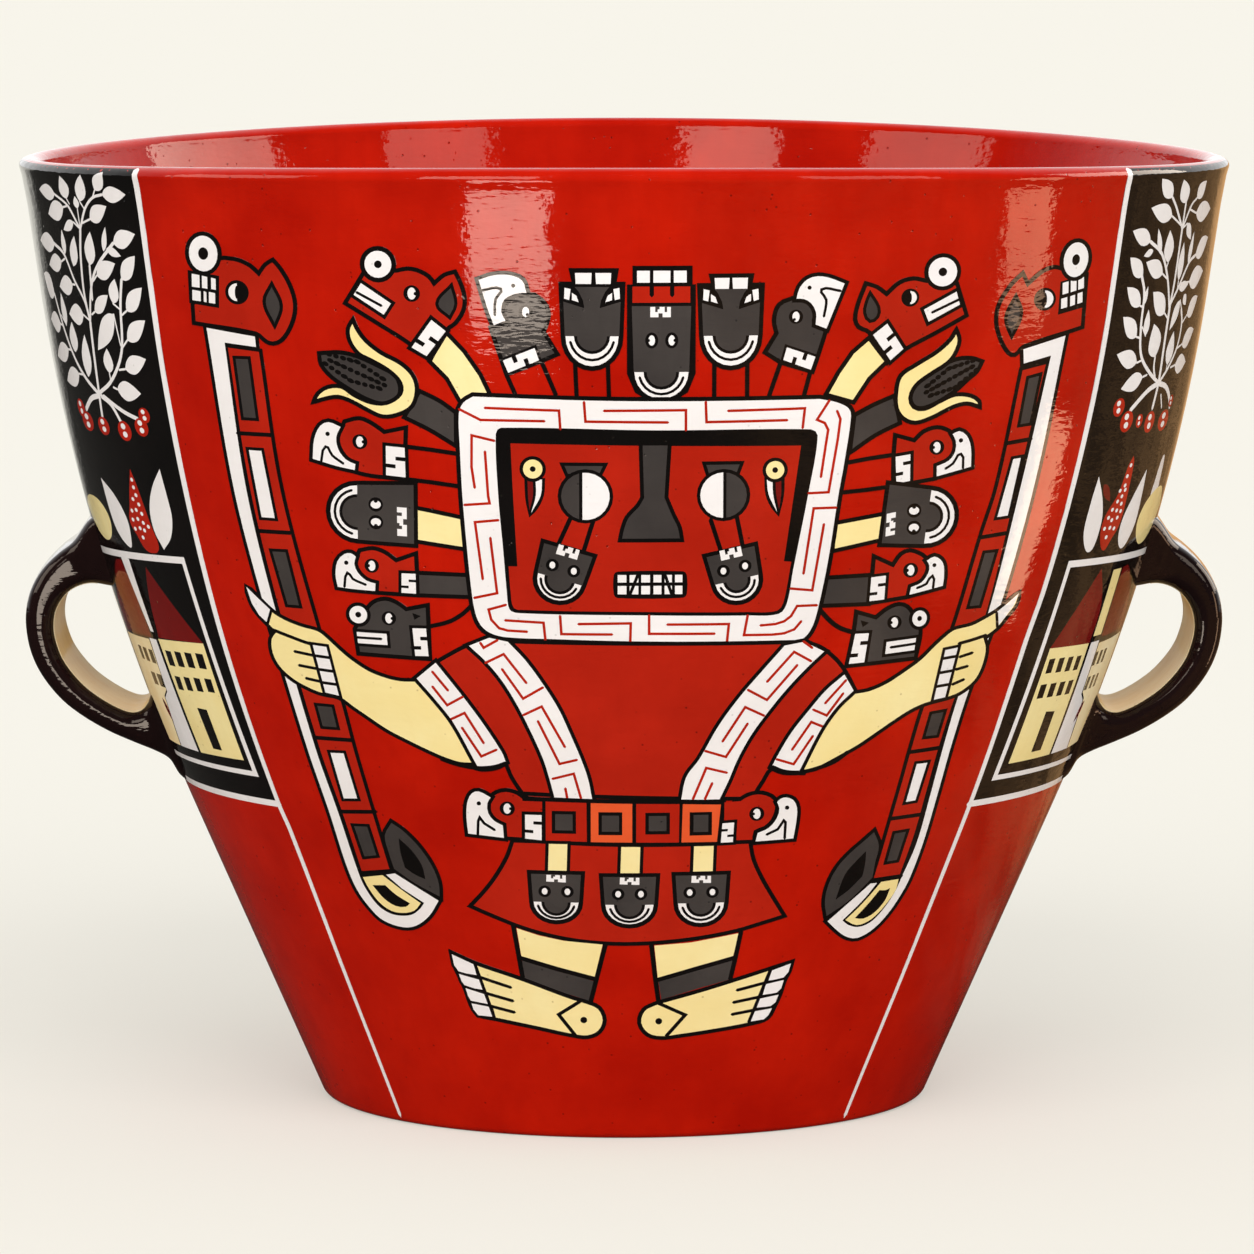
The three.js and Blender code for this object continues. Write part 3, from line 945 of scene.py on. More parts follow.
# Pumas' heads on top of the staffs, each with two rows of teeth and a nose disc
for head, jaw, teeth, top_step, foot_step, nose, pupil, ear in (
    (
        [
            (-270.5, 543.6, sharp), (-269.9, 531.9, sharp), (-229.3, 527.5), (-222.8, 522.8),
            (-218.4, 521.7), (-213, 524), (-207.6, 531.7), (-204.3, 541.4), (-204.3, 550),
            (-207.6, 559.9), (-213, 569), (-217.9, 574.5, sharp), (-222.8, 571.3), (-227, 565.5, sharp),
            (-232.5, 570.2), (-240, 573.4), (-246.6, 574.2), (-251.5, 574), (-262, 566, sharp),
        ],
        [(-273.4, 565.4), (-252.6, 562.8), (-253, 542.4), (-272.6, 544.4)],
        (
            (-270.7, -265.6, 555, 563.2), (-264, -260.5, 554.6, 562.3), (-258, -255, 554.2, 561.4),
            (-270.5, -265, 546.4, 553), (-263, -261.2, 545.9, 552.6), (-259.6, -255.5, 545.4, 552.3),
        ),
        -0.6, -0.4, (-262.9, 576.4, 9.4, 3.3, 2.7, 1.2), (-241.2, 553, 7.7, 180, 5.6),
        [(-218.7, 559.7, sharp), (-212.7, 545.8), (-217.1, 532.2, sharp), (-223.8, 547.9)],
    ),
    (
        [
            (291.1, 561.5, sharp), (289, 527.9, sharp), (249.9, 518.1), (244.5, 513.2), (240.1, 514.8),
            (234.7, 524.1), (232, 534.9), (233.6, 545.8), (241.2, 557.7), (248.8, 564.7, sharp),
            (252.1, 557.7, sharp), (261.8, 565.3), (269.4, 567.5), (273.8, 566.4, sharp), (283, 562),
        ],
        [(273.6, 557.9), (291.9, 562.2), (289.4, 540.6), (272.3, 537)],
        (
            (275.1, 279, 549.6, 557), (280.5, 284.3, 550.8, 558.2), (285.5, 289.3, 552, 559.6),
            (274.3, 278.3, 540.6, 547), (280.3, 283.5, 541.8, 548.2), (285.2, 288.5, 543, 549.6),
        ),
        0.9, 0.9, (283.7, 571.3, 8.2, 2.6, 2.6, 1.35, -8), (263.5, 547.4, 7.3, 0, 5.6),
        [(244.5, 551.2, sharp), (248.3, 539.2), (242.1, 524.3, sharp), (238, 537.1)],
    ),
):
    outlined("red", curve(head))
    on_front("black", jaw)
    for low, high, foot, top in teeth:
        on_front("white", [(low, top), (high, top + top_step), (high, foot + foot_step), (low, foot)])
    ring(*nose)
    eye(*pupil)
    outlined("grey", curve(ear), 2.2)

# Rays of the headdress: animal heads on necks that spread from the frame of the face, with an ear of
# maize on each side. Red heads are the bare red wall inside their black outline.
def wide_mouth(x, z, width, depth, inner, turn):
    """The broad U of a mouth: a white band with a black line along its middle."""
    on_front("black", disc(x, z, width + 2.2, depth + 2.2, turn, 180, 360))
    on_front("white", disc(x, z, width, depth, turn, 180, 360))
    on_front("black", disc(x, z, inner + 1.9, inner + 1.9, turn, 180, 360))
    on_front("grey", disc(x, z + 0.01, inner, inner, turn, 178, 362))
    middle = (width + inner + 1.9) / 2
    line = disc(x, z, middle, (depth + inner + 1.9) / 2, turn, 194, 346)
    ink(line, 1.7)


def square_head(x, z, width, depth, top, inner, turn=0.0):
    """A dark head with a straight crown and a round chin that the wide mouth fills."""
    c, s = math.cos(math.radians(turn)), math.sin(math.radians(turn))
    chin = disc(0, 0, width + 0.4, depth + 0.4, 0, 180, 360)
    crown = [(width + 1.6, top), (-width - 1.6, top)]
    body = [(x + c * u - s * v, z + s * u + c * v) for u, v in chin + crown]
    on_front("black", grown(body, 2.6))
    on_front("grey", body)
    wide_mouth(x, z, width, depth, inner, turn)


def spot_on(x, z, turn, across, up):
    """A point given in a head's own directions."""
    c, s = math.cos(math.radians(turn)), math.sin(math.radians(turn))
    return x + c * across - s * up, z + s * across + c * up


def puma(colour, head, mouth, slit, line, nose, slit_width=fine_width):
    """A puma's head with its white mouth, the slit between the teeth and the nose disc."""
    outlined(colour, curve(head))
    filled(("white", mouth), line=line)
    ink(slit, slit_width)
    ring(*nose)


def condor(head, beak, nostril, slit, pupil, sign, shares, border, colour="red"):
    """A condor's head: the beak with its nostril and slit, the eye, and the sign on the neck."""
    outlined(colour, curve(head))
    filled(("white", curve(beak)), line=edge_width)
    on_front("black", disc(*nostril))
    ink(slit, fine_width, smooth=True)
    small_eye(*pupil)
    hooked(sign, *shares, border)


# Neck bands and neck lines, from the outermost heads inwards
outlined("yellow", [
    (-120, 514.3), (-109.2, 503.5), (-100.5, 488), (-82.6, 494.3), (-88.5, 506.7), (-98.3, 520.8),
    (-109.2, 532.2),
])
outlined("yellow", [
    (151.2, 527.9), (140.9, 519.2), (132.2, 506.7), (124.6, 493.1), (142, 487.7), (151.7, 502.4),
    (162.6, 512.7),
])
outlined("grey", curve([
    (-126.2, 495.3, sharp), (-114, 489.5), (-103.7, 482.3, sharp), (-103.7, 461.2, sharp), (-120, 470.9),
    (-136, 478.5, sharp),
]))
outlined("grey", curve([
    (142.5, 479.6, sharp), (154, 485.5), (167.5, 491, sharp), (171.3, 473.6, sharp), (156, 466.5),
    (139.8, 455.7, sharp),
]))
outlined("yellow", [
    (-133, 421.9), (-120, 419.7), (-99, 415.7), (-98, 395.6), (-120, 398.5), (-133, 400.2),
])
outlined("yellow", [(131, 411.4), (162, 416.1), (162, 399.6), (129.6, 393.4)])
outlined("grey", [(-130, 379.6), (-96, 379.2), (-95, 365), (-130, 365)])
outlined("grey", [(125.5, 376.5), (154, 377), (153, 358.2), (122, 358.4)])
ink([(-135.4, 460), (-120, 458.5), (-102.6, 456.3)])
ink([(-138.2, 439.5), (-120, 437.9), (-101.8, 435.7)])
ink([(138, 449.6), (152, 451.8), (168, 453.6)])
ink([(135.5, 430.8), (150, 431.8), (168, 433.6)])
ink([(-121.5, 345), (-109.2, 348.6), (-100.5, 354), (-94.5, 360)], smooth=True)
ink([(121.9, 356.2), (129, 348.1), (135.5, 343.2), (144, 340)], 3.0, smooth=True)
for a, b in (
    ((-72.3, 506.7), (-66.9, 494.3)), ((-50.6, 514.9), (-41.9, 494.3)), ((-30, 514), (-29.1, 493)),
    ((-9.9, 514), (-9.2, 493)), ((55.5, 514), (55.5, 492)), ((75.8, 514), (75.8, 492)),
    ((96.4, 513.8), (89.4, 493.1)), ((114.9, 507.8), (111.1, 493.1)),
):
    ink([a, b])

# Ears of maize
for husk, kernel, rows in (
    (
        [
            (-167.4, 539.3, sharp), (-165.3, 533.8), (-159.8, 526.2), (-150, 518.7), (-138.2, 512.7),
            (-130.6, 505.6), (-127.8, 497), (-130.6, 486), (-138.2, 480.7), (-149, 478.5),
            (-158.8, 482.3), (-168.5, 487.2), (-177.2, 489.9), (-185.9, 488.3), (-193.5, 485.6, sharp),
            (-190.2, 491.5), (-183.7, 495.9), (-175, 496.4), (-167.4, 491.5), (-156.6, 487.2),
            (-146.8, 487.2), (-138.2, 493.2), (-138.2, 500.2), (-145.7, 507.8), (-156.6, 513.8),
            (-164.2, 517.6), (-169.6, 525.2), (-170.7, 532.8),
        ],
        [
            (-189.1, 517, sharp), (-176, 518), (-165.3, 516), (-151.2, 510), (-141.4, 504.6),
            (-138.2, 497), (-140.3, 490.5), (-149, 486.7), (-159.8, 489.4), (-170.7, 495.3),
            (-181.5, 502.4), (-188, 510),
        ],
        ((-184, 513.5), (-146, 497.5), 1),
    ),
    (
        [
            (206.5, 531.4, sharp), (208.5, 524), (205.4, 515.4), (200.6, 510), (189.7, 503.4),
            (181, 496.9), (177.6, 489.3), (179.9, 483.4), (186.5, 481.8), (196.2, 486.1), (206, 489.9),
            (216.3, 488.8), (221.7, 485), (222.2, 481.2, sharp), (214.1, 483.9), (206.5, 482.8),
            (200, 480.1), (191.9, 476.3), (181, 473.3), (173.4, 476.3), (169.1, 482.8), (168.6, 492.6),
            (171.3, 503.4), (181, 510), (194, 517.6), (202.7, 525.1),
        ],
        [
            (223.3, 510.2, sharp), (216.3, 512.7), (205.4, 512.1), (190, 504.5), (180.5, 497),
            (177.6, 489.3), (181, 483), (190, 483.5), (206.5, 492.6), (214.1, 499.1), (220, 504),
        ],
        ((218.5, 508), (186, 491.5), -1),
    ),
):
    outlined("grey", curve(kernel))
    (x0, z0), (x1, z1), way = rows
    for row in range(3):
        for i in range(9):
            t = (i + 0.5 * (row % 2)) / 9
            wide = 1 - abs(2 * t - 0.9) * 0.55
            x = x0 + (x1 - x0) * t
            z = z0 + (z1 - z0) * t + (row - 1) * 6.0 * wide
            grain = 2.2 + 0.3 * math.sin(5 * i + 3 * row)
            on_front("black", disc(x + (row - 1) * 2.2 * wide * way, z, grain, 1.4, -25 * way))
    outlined("yellow", curve(husk))

# Left rays, from the top down
puma(
    "red", [
        (-160.4, 568.5, sharp), (-172.3, 549, sharp), (-152, 537), (-132.7, 525.2),
        (-119.5, 514.5, sharp), (-109.2, 533.8), (-103.7, 538.2), (-98.9, 545.8), (-97.8, 553.4),
        (-99.9, 562), (-103.7, 570.2, sharp), (-110.5, 568), (-116.7, 562.6, sharp), (-120, 567),
        (-127.3, 570.7), (-133.8, 571.5), (-139.8, 570.2),
    ],
    [(-162.2, 561.8), (-143.6, 549.6), (-148.1, 542.5), (-166.9, 554.4)],
    [(-165, 556), (-149.5, 548)], 2.2, (-151.5, 573.8, 8.4, 2.4, 3.0),
)
small_eye(-130.6, 556.1, 5.2, 180)
outlined("grey", curve([(-105.9, 562, sharp), (-103.2, 550), (-107, 541.4, sharp), (-115.1, 550)]), 2.0)
hooked([(-118.5, 540), (-109.7, 533.1), (-121.6, 517.3), (-130.9, 522.5)], 0.4, 0.68, 2.3)

condor(
    [
        (-173.5, 474.5, sharp), (-164.2, 476.9), (-156.6, 474.2), (-148.5, 468.8, sharp),
        (-134.9, 472, sharp), (-135.4, 460, sharp), (-134.9, 439, sharp), (-167.4, 442.7),
        (-166, 448.5, sharp), (-171.5, 450.6), (-176.6, 457.5), (-177.6, 464.4),
    ],
    [
        (-194, 449.8, sharp), (-192.9, 462.3), (-189, 470.9), (-183.7, 473.6), (-176, 470.9, sharp),
        (-178.8, 464.4), (-177.7, 456.8), (-172.9, 450.3), (-166.9, 447.6, sharp), (-167.4, 443.8, sharp),
        (-179.4, 446),
    ],
    (-184.3, 466.1, 1.4), [(-188.6, 448.2), (-185.7, 457.9), (-181.5, 452.5), (-174.5, 447.6)],
    (-163.9, 462, 4.8, 180),
    [(-147.6, 460), (-135.8, 459.2), (-135.4, 440.4), (-147.6, 441.4)], (0.33, 0.6), 2.2,
)

square_head(-166, 416.9, 17.2, 17.2, 35.5, 9.7, -90)
toothed([(-141, 402.9), (-141, 421.3), (-134.9, 421), (-134.9, 402.7)])
for z, look in ((422.4, -90), (411, 90)):
    on_front("black", disc(-154.4, z, 4.6))
    on_front("white", disc(-154.4, z, 3.2, 2.6))
    on_front("black", disc(-154.4, z - 2.4 * math.sin(math.radians(look)), 1.3))

condor(
    [
        (-165, 392.4, sharp), (-156.6, 394.2), (-149, 392), (-141.9, 387.1, sharp), (-129.4, 392, sharp),
        (-128.9, 380, sharp), (-128.6, 364.9, sharp), (-155.5, 365.5, sharp), (-155.2, 371.4, sharp),
        (-160.9, 373), (-166.3, 377.9), (-168.5, 383.4),
    ],
    [
        (-179.3, 367.9, sharp), (-180.6, 375.8), (-179.3, 384.4), (-175, 389.3), (-170.7, 390.2),
        (-167.4, 388.2, sharp), (-168.5, 383.4), (-166.3, 377.9), (-160.9, 373), (-155.2, 371.4, sharp),
        (-155.5, 366.5, sharp), (-170.7, 367.1),
    ],
    (-173.6, 383.9, 1.4), [(-175, 368.2), (-173, 377.4), (-169.6, 373.6), (-161.4, 370.3)],
    (-157.4, 382.8, 4.6, 0),
    [(-138.6, 378.8), (-129.8, 378.8), (-129.6, 366), (-138.8, 366.2)], (0.3, 0.62), 2.0,
)

puma(
    "grey", [
        (-166.9, 324.8, sharp), (-169, 341, sharp), (-161.4, 354.1), (-156.6, 359.5), (-149, 361.9),
        (-141.4, 359.5), (-136, 355.7, sharp), (-122.4, 358.9, sharp), (-121.3, 323.7, sharp),
    ],
    [(-167.7, 339.1), (-148.6, 338.9), (-148.1, 331.6), (-166.9, 331.8)],
    [(-168, 335.5), (-152, 335.4)], 2.0, (-166.5, 350.5, 5.7, 1.9, 2.3),
)
small_eye(-147, 349.2, 4.6, 180)
on_front("black", [(-132.2, 353.4), (-126.8, 351.6), (-130.8, 349)])
hooked([(-132.2, 343.4), (-123.6, 343.6), (-122.2, 325.6), (-130.6, 325.4)], 0.3, 0.64, 2.0)

# Right rays, from the top down
puma(
    "red", [
        (206.5, 560, sharp), (212.8, 539.8, sharp), (193, 529.5), (174.5, 520.3), (163, 512, sharp),
        (151.7, 531.1), (144.7, 534.9), (142.5, 539.8), (144.1, 549), (149, 562, sharp), (156, 559.5),
        (162, 555, sharp), (170.2, 562), (178.9, 564.2), (186.5, 562.6),
    ],
    [(206.2, 555), (208.4, 546.8), (188.6, 536.8), (185.6, 544.5)],
    [(207.6, 549.9), (190.8, 542.5)], 2.2, (197.3, 567.7, 9.1, 2.7, 2.6),
)
eye(176.9, 552.3, 5.7, 0, 5.7 * 0.72)
outlined("grey", curve([
    (151.7, 556.1, sharp), (157.2, 546.8), (156.6, 540.9), (151.7, 538.2), (148.3, 543.6), (149.6, 551.2),
]), 2.0)
hooked([(153.7, 529.7), (162.6, 536.5), (172.9, 520.3), (164.8, 513.4)], 0.36, 0.62, 2.3)

condor(
    [
        (205.6, 463.8, sharp), (202.7, 467.1), (195.1, 469.8), (186.5, 467.6), (180.5, 462.2, sharp),
        (168.4, 466, sharp), (167.5, 453.5, sharp), (167.5, 433.5, sharp), (194, 437, sharp),
        (195.1, 444.9, sharp), (202.7, 448.1), (207, 455),
    ],
    [
        (204.9, 464.9, sharp), (209.2, 466.6), (214.1, 463.3), (216.8, 455.7), (217.1, 443.4, sharp),
        (195.1, 438.4, sharp), (195.1, 444.9, sharp), (202.7, 448.1), (206.8, 453.8), (207, 460.5),
    ],
    (210.3, 460.6, 1.4), [(211.9, 442.7), (210.5, 451.9), (205.4, 446), (200.6, 443)],
    (194.9, 457, 4.8, 0),
    [(168.8, 452.2), (178.1, 453.4), (178.1, 436.4), (169.4, 435.2)], (0.24, 0.6), 2.2,
)

square_head(189.8, 412.6, 17.2, 17.2, 27, 8.1, 83)
toothed([(169.4, 416.9), (168.9, 402.4), (163, 401.4), (163.7, 415.9)])
for x, z, look in ((181, 417.2, 90), (181, 406.1, -90)):
    on_front("black", disc(x, z, 4.6))
    on_front("white", disc(x, z, 3.2, 2.6))
    on_front("black", disc(x, z + 2.4 * math.sin(math.radians(look)), 1.3))

condor(
    [
        (190.4, 384.6, sharp), (187, 388.2), (178.9, 391.6), (173, 389.6), (168, 382.8, sharp),
        (155.9, 389, sharp), (155, 377.9, sharp), (153.5, 358.6, sharp), (178, 361.4, sharp),
        (178.9, 367.6, sharp), (186.5, 371.4), (190.2, 377.9),
    ],
    [
        (189.7, 384.2, sharp), (194.6, 386.6), (200, 382.3), (201, 374), (200.3, 367.1, sharp),
        (178.9, 362.7, sharp), (179.9, 367.6, sharp), (186.5, 370.3), (190.8, 376.3), (191.3, 381.2),
    ],
    (194.6, 381, 1.3), [(194, 366), (193.5, 374.1), (189.7, 369.2), (183.7, 366.8)],
    (179.4, 378.7, 4.8, 0),
    [(154.4, 375.4), (163.7, 376.1), (162.8, 360.6), (153.4, 360)], (0.3, 0.64), 2.0,
)

puma(
    "grey", [
        (183.7, 320.6, sharp), (186.5, 340), (181, 350.8), (177.8, 355.1), (172.4, 357.1), (164.8, 354.6),
        (157.7, 349.2, sharp), (145.2, 353.5, sharp), (143.6, 340), (139.4, 318.2, sharp),
    ],
    [(164.8, 332.6), (183.7, 334), (182.7, 326.1), (164, 324.8)],
    [(167.5, 328.9), (184.5, 330.4)], 2.0, (185.7, 346.7, 4.7, 1.5, 2.2, 1.12), 1.8,
)
small_eye(169.6, 345.2, 4.6, 0)
on_front("black", [(148, 347.8), (153.4, 346), (149.4, 343.2)])
hooked([(144.7, 339.1), (153.4, 339.1), (150.7, 320.1), (140.9, 319.6)], 0.26, 0.66, 2.0)

# Upper rays over the frame: two dark condors, two square heads and the tall head in the middle
for head, beak, nostril, slit, pupil, sign in (
    (
        [
            (-54.9, 556.6, sharp), (-48.4, 551.2), (-46.2, 543.6), (-49.3, 533.5, sharp),
            (-40.8, 519.7, sharp), (-50.6, 515.4, sharp), (-72.3, 506.7, sharp), (-76.6, 519.7, sharp),
            (-82, 536, sharp), (-74, 541), (-74.5, 548), (-65.8, 556),
        ],
        [
            (-89.1, 565.3, sharp), (-79.9, 568.3), (-70.1, 568.5), (-62.5, 565.3), (-59.8, 557.7, sharp),
            (-65.8, 557.2), (-73.4, 553.4), (-75.3, 545.8), (-72.8, 540.3, sharp), (-79.9, 537.3, sharp),
            (-84.2, 549),
        ],
        (-67.9, 562, 1.3), [(-87.5, 558.8), (-75.5, 559.9), (-78.8, 553.4), (-79.3, 543.6)],
        (-60.3, 545.8, 4.4, 120), [(-54.9, 523.5), (-52.2, 515.9), (-71.2, 507.8), (-74.4, 515.4)],
    ),
    (
        [
            (104, 553.9, sharp), (95.3, 550), (92.1, 540.3), (93.7, 532.2, sharp), (86.6, 520.3, sharp),
            (96.4, 513.8, sharp), (116.2, 507.6, sharp), (119.7, 518.1), (124.6, 533.8, sharp),
            (117.2, 537), (117.6, 545.5), (114, 551),
        ],
        [
            (106, 553.4, sharp), (107.8, 559.9), (112.7, 565.3), (119.2, 567.1), (126.8, 565.8),
            (135.7, 562.2, sharp), (124.6, 534.4, sharp), (117.9, 537.1, sharp), (118.1, 544.7),
            (114.9, 550.6), (110.5, 553.1),
        ],
        (114, 560.1, 1.3), [(133.3, 557.7), (121.4, 558.8), (124.4, 552.3), (123, 542)],
        (105.7, 542.2, 4.4, 60), [(100.2, 523.2), (98, 515.4), (115.1, 508.9), (117.9, 517)],
    ),
):
    condor(head, beak, nostril, slit, pupil, sign, (0.3, 0.6), 1.6, "grey")

for x, z, width, top, mouth, crown, teeth, edge in (
    (
        -19.6, 531, 16.3, 31.2, 9.2,
        [(-34, 573.2), (-3, 573.2), (-5, 561.5), (-31.5, 561.5)], ((-30, -19.8), (-17.5, -7.8)), 570.2,
    ),
    (
        65.6, 531, 16.6, 30.2, 9.4,
        [(51.8, 569.6), (80, 569.6), (78.2, 560), (54, 560)], ((55.5, 64.7), (66.4, 76)), 566.9,
    ),
):
    square_head(x, z, width, 18.6, top, mouth)
    on_front("black", crown)
    for low, high in teeth:
        foot = edge - 6.8
        on_front("white", [(low, edge), (high, edge), (high - 0.4, foot), (low + 0.4, foot)])
    for way in (-1, 1):
        for name, shape in (
            (
                "black",
                [(18.6, 1), (12, 1), (8.2, -3.5), (5.5, -9), (4.7, -13.8), (12, -11.5), (18.6, -9.5)],
            ),
            ("white", [(16.8, -1.2), (13.1, -2), (14, -8.8), (17.1, -7.9)]),
            ("white", [(12.3, -4.3), (9.6, -6.1), (8.2, -10.1), (12.3, -8.8)]),
        ):
            on_front(name, [(x + way * across, z + top + up) for across, up in shape])
on_front("black", [(5.2, 574.6), (42, 574.6), (42, 561), (5.2, 561)])
on_front("black", grown([
    (3.4, 561.5), (42.4, 561.5), (42.4, 508), (38, 497), (31, 492.6), (23, 491.6), (15, 492.6), (8, 497),
    (3.4, 508),
], 1.6))
square_head(23, 508.7, 16.6, 16.6, 41, 9.1)
on_front("red", [(5.2, 561.8), (40.6, 561.8), (40.6, 551.8), (5.2, 551.8)])
for low, high in ((8, 15.8), (18, 28.4), (30.5, 38.4)):
    on_front("white", [(low, 571.6), (high, 571.6), (high, 564.2), (low, 564.2)])
for x in (17, 29.5):
    ink([(x, 563), (x, 556.4)])
toothed([(16.1, 549.2), (28.7, 549.2), (28.7, 542.8), (16.1, 542.8)])
for x, way in ((17, 1), (29.3, -1)):
    on_front("black", disc(x, 528.4, 4, 5))
    on_front("white", disc(x, 528.4, 2, 3.2))
    on_front("black", disc(x - 2 * way, 528.4, 1))

# Face, in the middle of the front: a white frame with a red thread of meanders, a black band inside it,
# and the eyes, nose, teeth and the two tears, each tear ending in a small head of its own.
frame_edge = curve([
    (-93, 492.6, sharp), (0, 490.6), (121, 490.4, sharp), (131.5, 488), (138.9, 484), (140.4, 479),
    (136.2, 448.1), (133.1, 430), (126.8, 386.6), (120.8, 356.2), (117.6, 345.4), (112.7, 338.3),
    (105.1, 335.9), (50, 337.2), (0, 338), (-44, 339), (-73.4, 339.7), (-83.4, 342.2), (-89.4, 347.3),
    (-92.7, 355.6), (-94.8, 369.3), (-97.5, 397.5), (-100, 430), (-101.3, 459), (-101.8, 481.8),
    (-99, 488.6),
])
filled(("white", frame_edge))
on_front("black", curve([
    (-76, 473.3), (20, 472.3), (115.5, 471.5), (119.7, 467.5), (114, 430), (105.1, 382.3), (101.3, 360.6),
    (96.4, 354.2), (76, 353.7), (15, 354.6), (-64, 355.4), (-70, 356.5), (-71.9, 360), (-72.8, 369.2),
    (-75, 397.5), (-77.7, 430), (-79, 469.5),
]))
on_front("red", curve([
    (-70, 463.6, sharp), (109.4, 461.4, sharp), (105.1, 430), (99.3, 388, sharp), (103.9, 387.6, sharp),
    (99.2, 361.6), (95.2, 356.2), (76, 355.9), (15, 356.8), (-63, 357.6), (-68.4, 358.6), (-70.4, 369.4),
    (-71.6, 385.5, sharp), (-66.1, 385.5, sharp), (-68.5, 430),
]))

# The meanders of the frame and of the bands further down are one thin red thread
thread_width = 1.7
meanders = (
    ((-85.8, 485.6), (-40, 484.5), (-39.2, 473)), ((-101.6, 484.5), (-88.5, 478), (-49, 477.8)),
    ((-24.6, 490), (-23.7, 477.7), (27, 477.2)), ((-12.3, 484.5), (38.1, 484.8), (38.1, 472.2)),
    ((50.3, 489.9), (50.8, 477.2), (100.7, 477.6)), ((64.1, 484.1), (111.6, 484.8), (110.3, 472.5)),
    ((126.8, 489.3), (119.2, 477.4), (124.1, 475.2), (126.2, 470.9), (124.6, 460), (121.9, 441.1)),
    ((131.7, 482.6), (133.8, 477.4), (132.2, 464.4), (126.8, 431.3), (114.3, 431)),
    ((131.7, 421.3), (117.6, 421.3), (111.6, 379.6)), ((124.1, 411), (117.2, 368.7), (103.5, 370.3)),
    ((120.3, 358.9), (107.8, 358.9), (104, 352.4), (99.7, 349.2), (94.2, 347.6), (85, 347)),
    ((110.5, 348.9), (106.2, 343.8), (99.7, 341.4), (92.1, 340.8), (74.7, 341), (76.9, 353.7)),
    ((-79.9, 465), (-94, 468.2), (-94.2, 448.2), (-92.3, 435.1)),
    ((-85.8, 458.1), (-84, 430), (-83.1, 425.4), (-98.8, 424)),
    ((-77.7, 414.8), (-92.3, 413.2), (-87.7, 376.8)),
    ((-82.8, 403.4), (-78.8, 368), (-93.1, 364.6)),
    ((-73.4, 360.6), (-84.2, 357.3), (-82.6, 350.8), (-77.7, 345.4), (-72.3, 344), (-60.3, 343.5)),
    ((-73.9, 350.6), (-50, 349.5), (-48.9, 338.3)), ((-39.7, 354.1), (-38.9, 342.3), (-7.4, 342.3)),
    ((-28.3, 348.9), (4.2, 349.5), (3.9, 337.2)), ((15.6, 354.6), (15.6, 342.7), (56.3, 342.3)),
    ((27, 348.6), (65.2, 348.4), (64.1, 336.7)),
)
for line in meanders:
    on_front("red", stroke(line, thread_width))

# Eyes under their brows
boxed("grey", [(-40, 452), (-9.5, 452), (-14, 442.6), (-36, 442.6)], 2.2)
boxed("grey", [(47.8, 452.5), (74.5, 452.5), (70.9, 442.6), (50.8, 442.6)], 2.2)
for x, z, size, look, half in ((-23.8, 430.6, 17.2, 0, 97), (61.5, 431, 16.6, 180, 89)):
    on_front("black", disc(x, z, size))
    on_front("grey", disc(x, z, size - 2.2))
    on_front("black", disc(x, z, size - 2.2, start=look - half - 8, end=look + half + 8))
    on_front("white", disc(x, z, size - 2.2, start=look - half, end=look + half))

# Ear discs and the tassels under them
for x, z, size, tassel, white, dark in (
    (
        -56.3, 447.6, 6,
        [
            (-61.6, 442, sharp), (-48.6, 442, sharp), (-49.4, 431), (-53.5, 422), (-58.6, 416.8, sharp),
            (-60.9, 428),
        ],
        [(-54.6, 441, sharp), (-50.6, 441, sharp), (-51.4, 431), (-57.4, 419.8, sharp), (-54.4, 431)],
        [(-59.6, 441, sharp), (-56.4, 441, sharp), (-56.2, 431), (-58.4, 421.5, sharp), (-59.2, 430)],
    ),
    (
        93.4, 446.3, 5.7,
        [(86.6, 442, sharp), (99.4, 442, sharp), (99, 430), (96, 416.4, sharp), (91, 422.5), (87.4, 431)],
        [(88.2, 441, sharp), (91.8, 441, sharp), (92.2, 431), (94.8, 419.6, sharp), (89.4, 431)],
        [(93.7, 441, sharp), (97.2, 441, sharp), (97.2, 430), (96, 421.5, sharp), (94.1, 431)],
    ),
):
    on_front("black", curve(tassel))
    on_front("maroon", curve(dark))
    on_front("white", curve(white))
    on_front("black", disc(x, z, size + 2.2))
    on_front("yellow", disc(x, z, size))
    on_front("black", disc(x, z, 1.8))

# Nose, teeth and tears
outlined("grey", curve([
    (10.2, 464, sharp), (28.2, 464, sharp), (26.2, 430, sharp), (30.9, 418.6), (34.5, 411),
    (36, 402.6, sharp), (-2.6, 402.6, sharp), (-1.4, 409), (1.6, 417.4), (8.5, 425.2), (11.2, 430, sharp),
]), 2.5)
on_front("black", curve([
    (-6.3, 380.8), (-4, 382.8), (36.6, 382.8), (38.9, 380.6), (38.9, 368), (36.6, 365.8), (-4, 365.8),
    (-6.3, 368),
]))
for low, high in ((-3.9, 1.5), (3.5, 8.9), (10.7, 16.1), (18.3, 23.2), (25.2, 29.7), (31.6, 36.2)):
    on_front("white", [(low, 380.6), (high, 380.6), (high, 375.8), (low, 375.8)])
    on_front("white", [(low, 373.6), (high, 373.6), (high, 368.2), (low, 368.2)])
ink([(3.9, 368.6), (8.4, 380.2)], 2.0)
ink([(25.6, 380.2), (29.4, 368.6)], 2.0)
for a, b in (
    ((-33.2, 416.4), (-41, 399)), ((-19.1, 414.8), (-25.5, 394)), ((53.6, 415.4), (60.3, 394.5)),
    ((69.8, 417), (73.8, 397)),
):
    ink([a, b], 2.8)
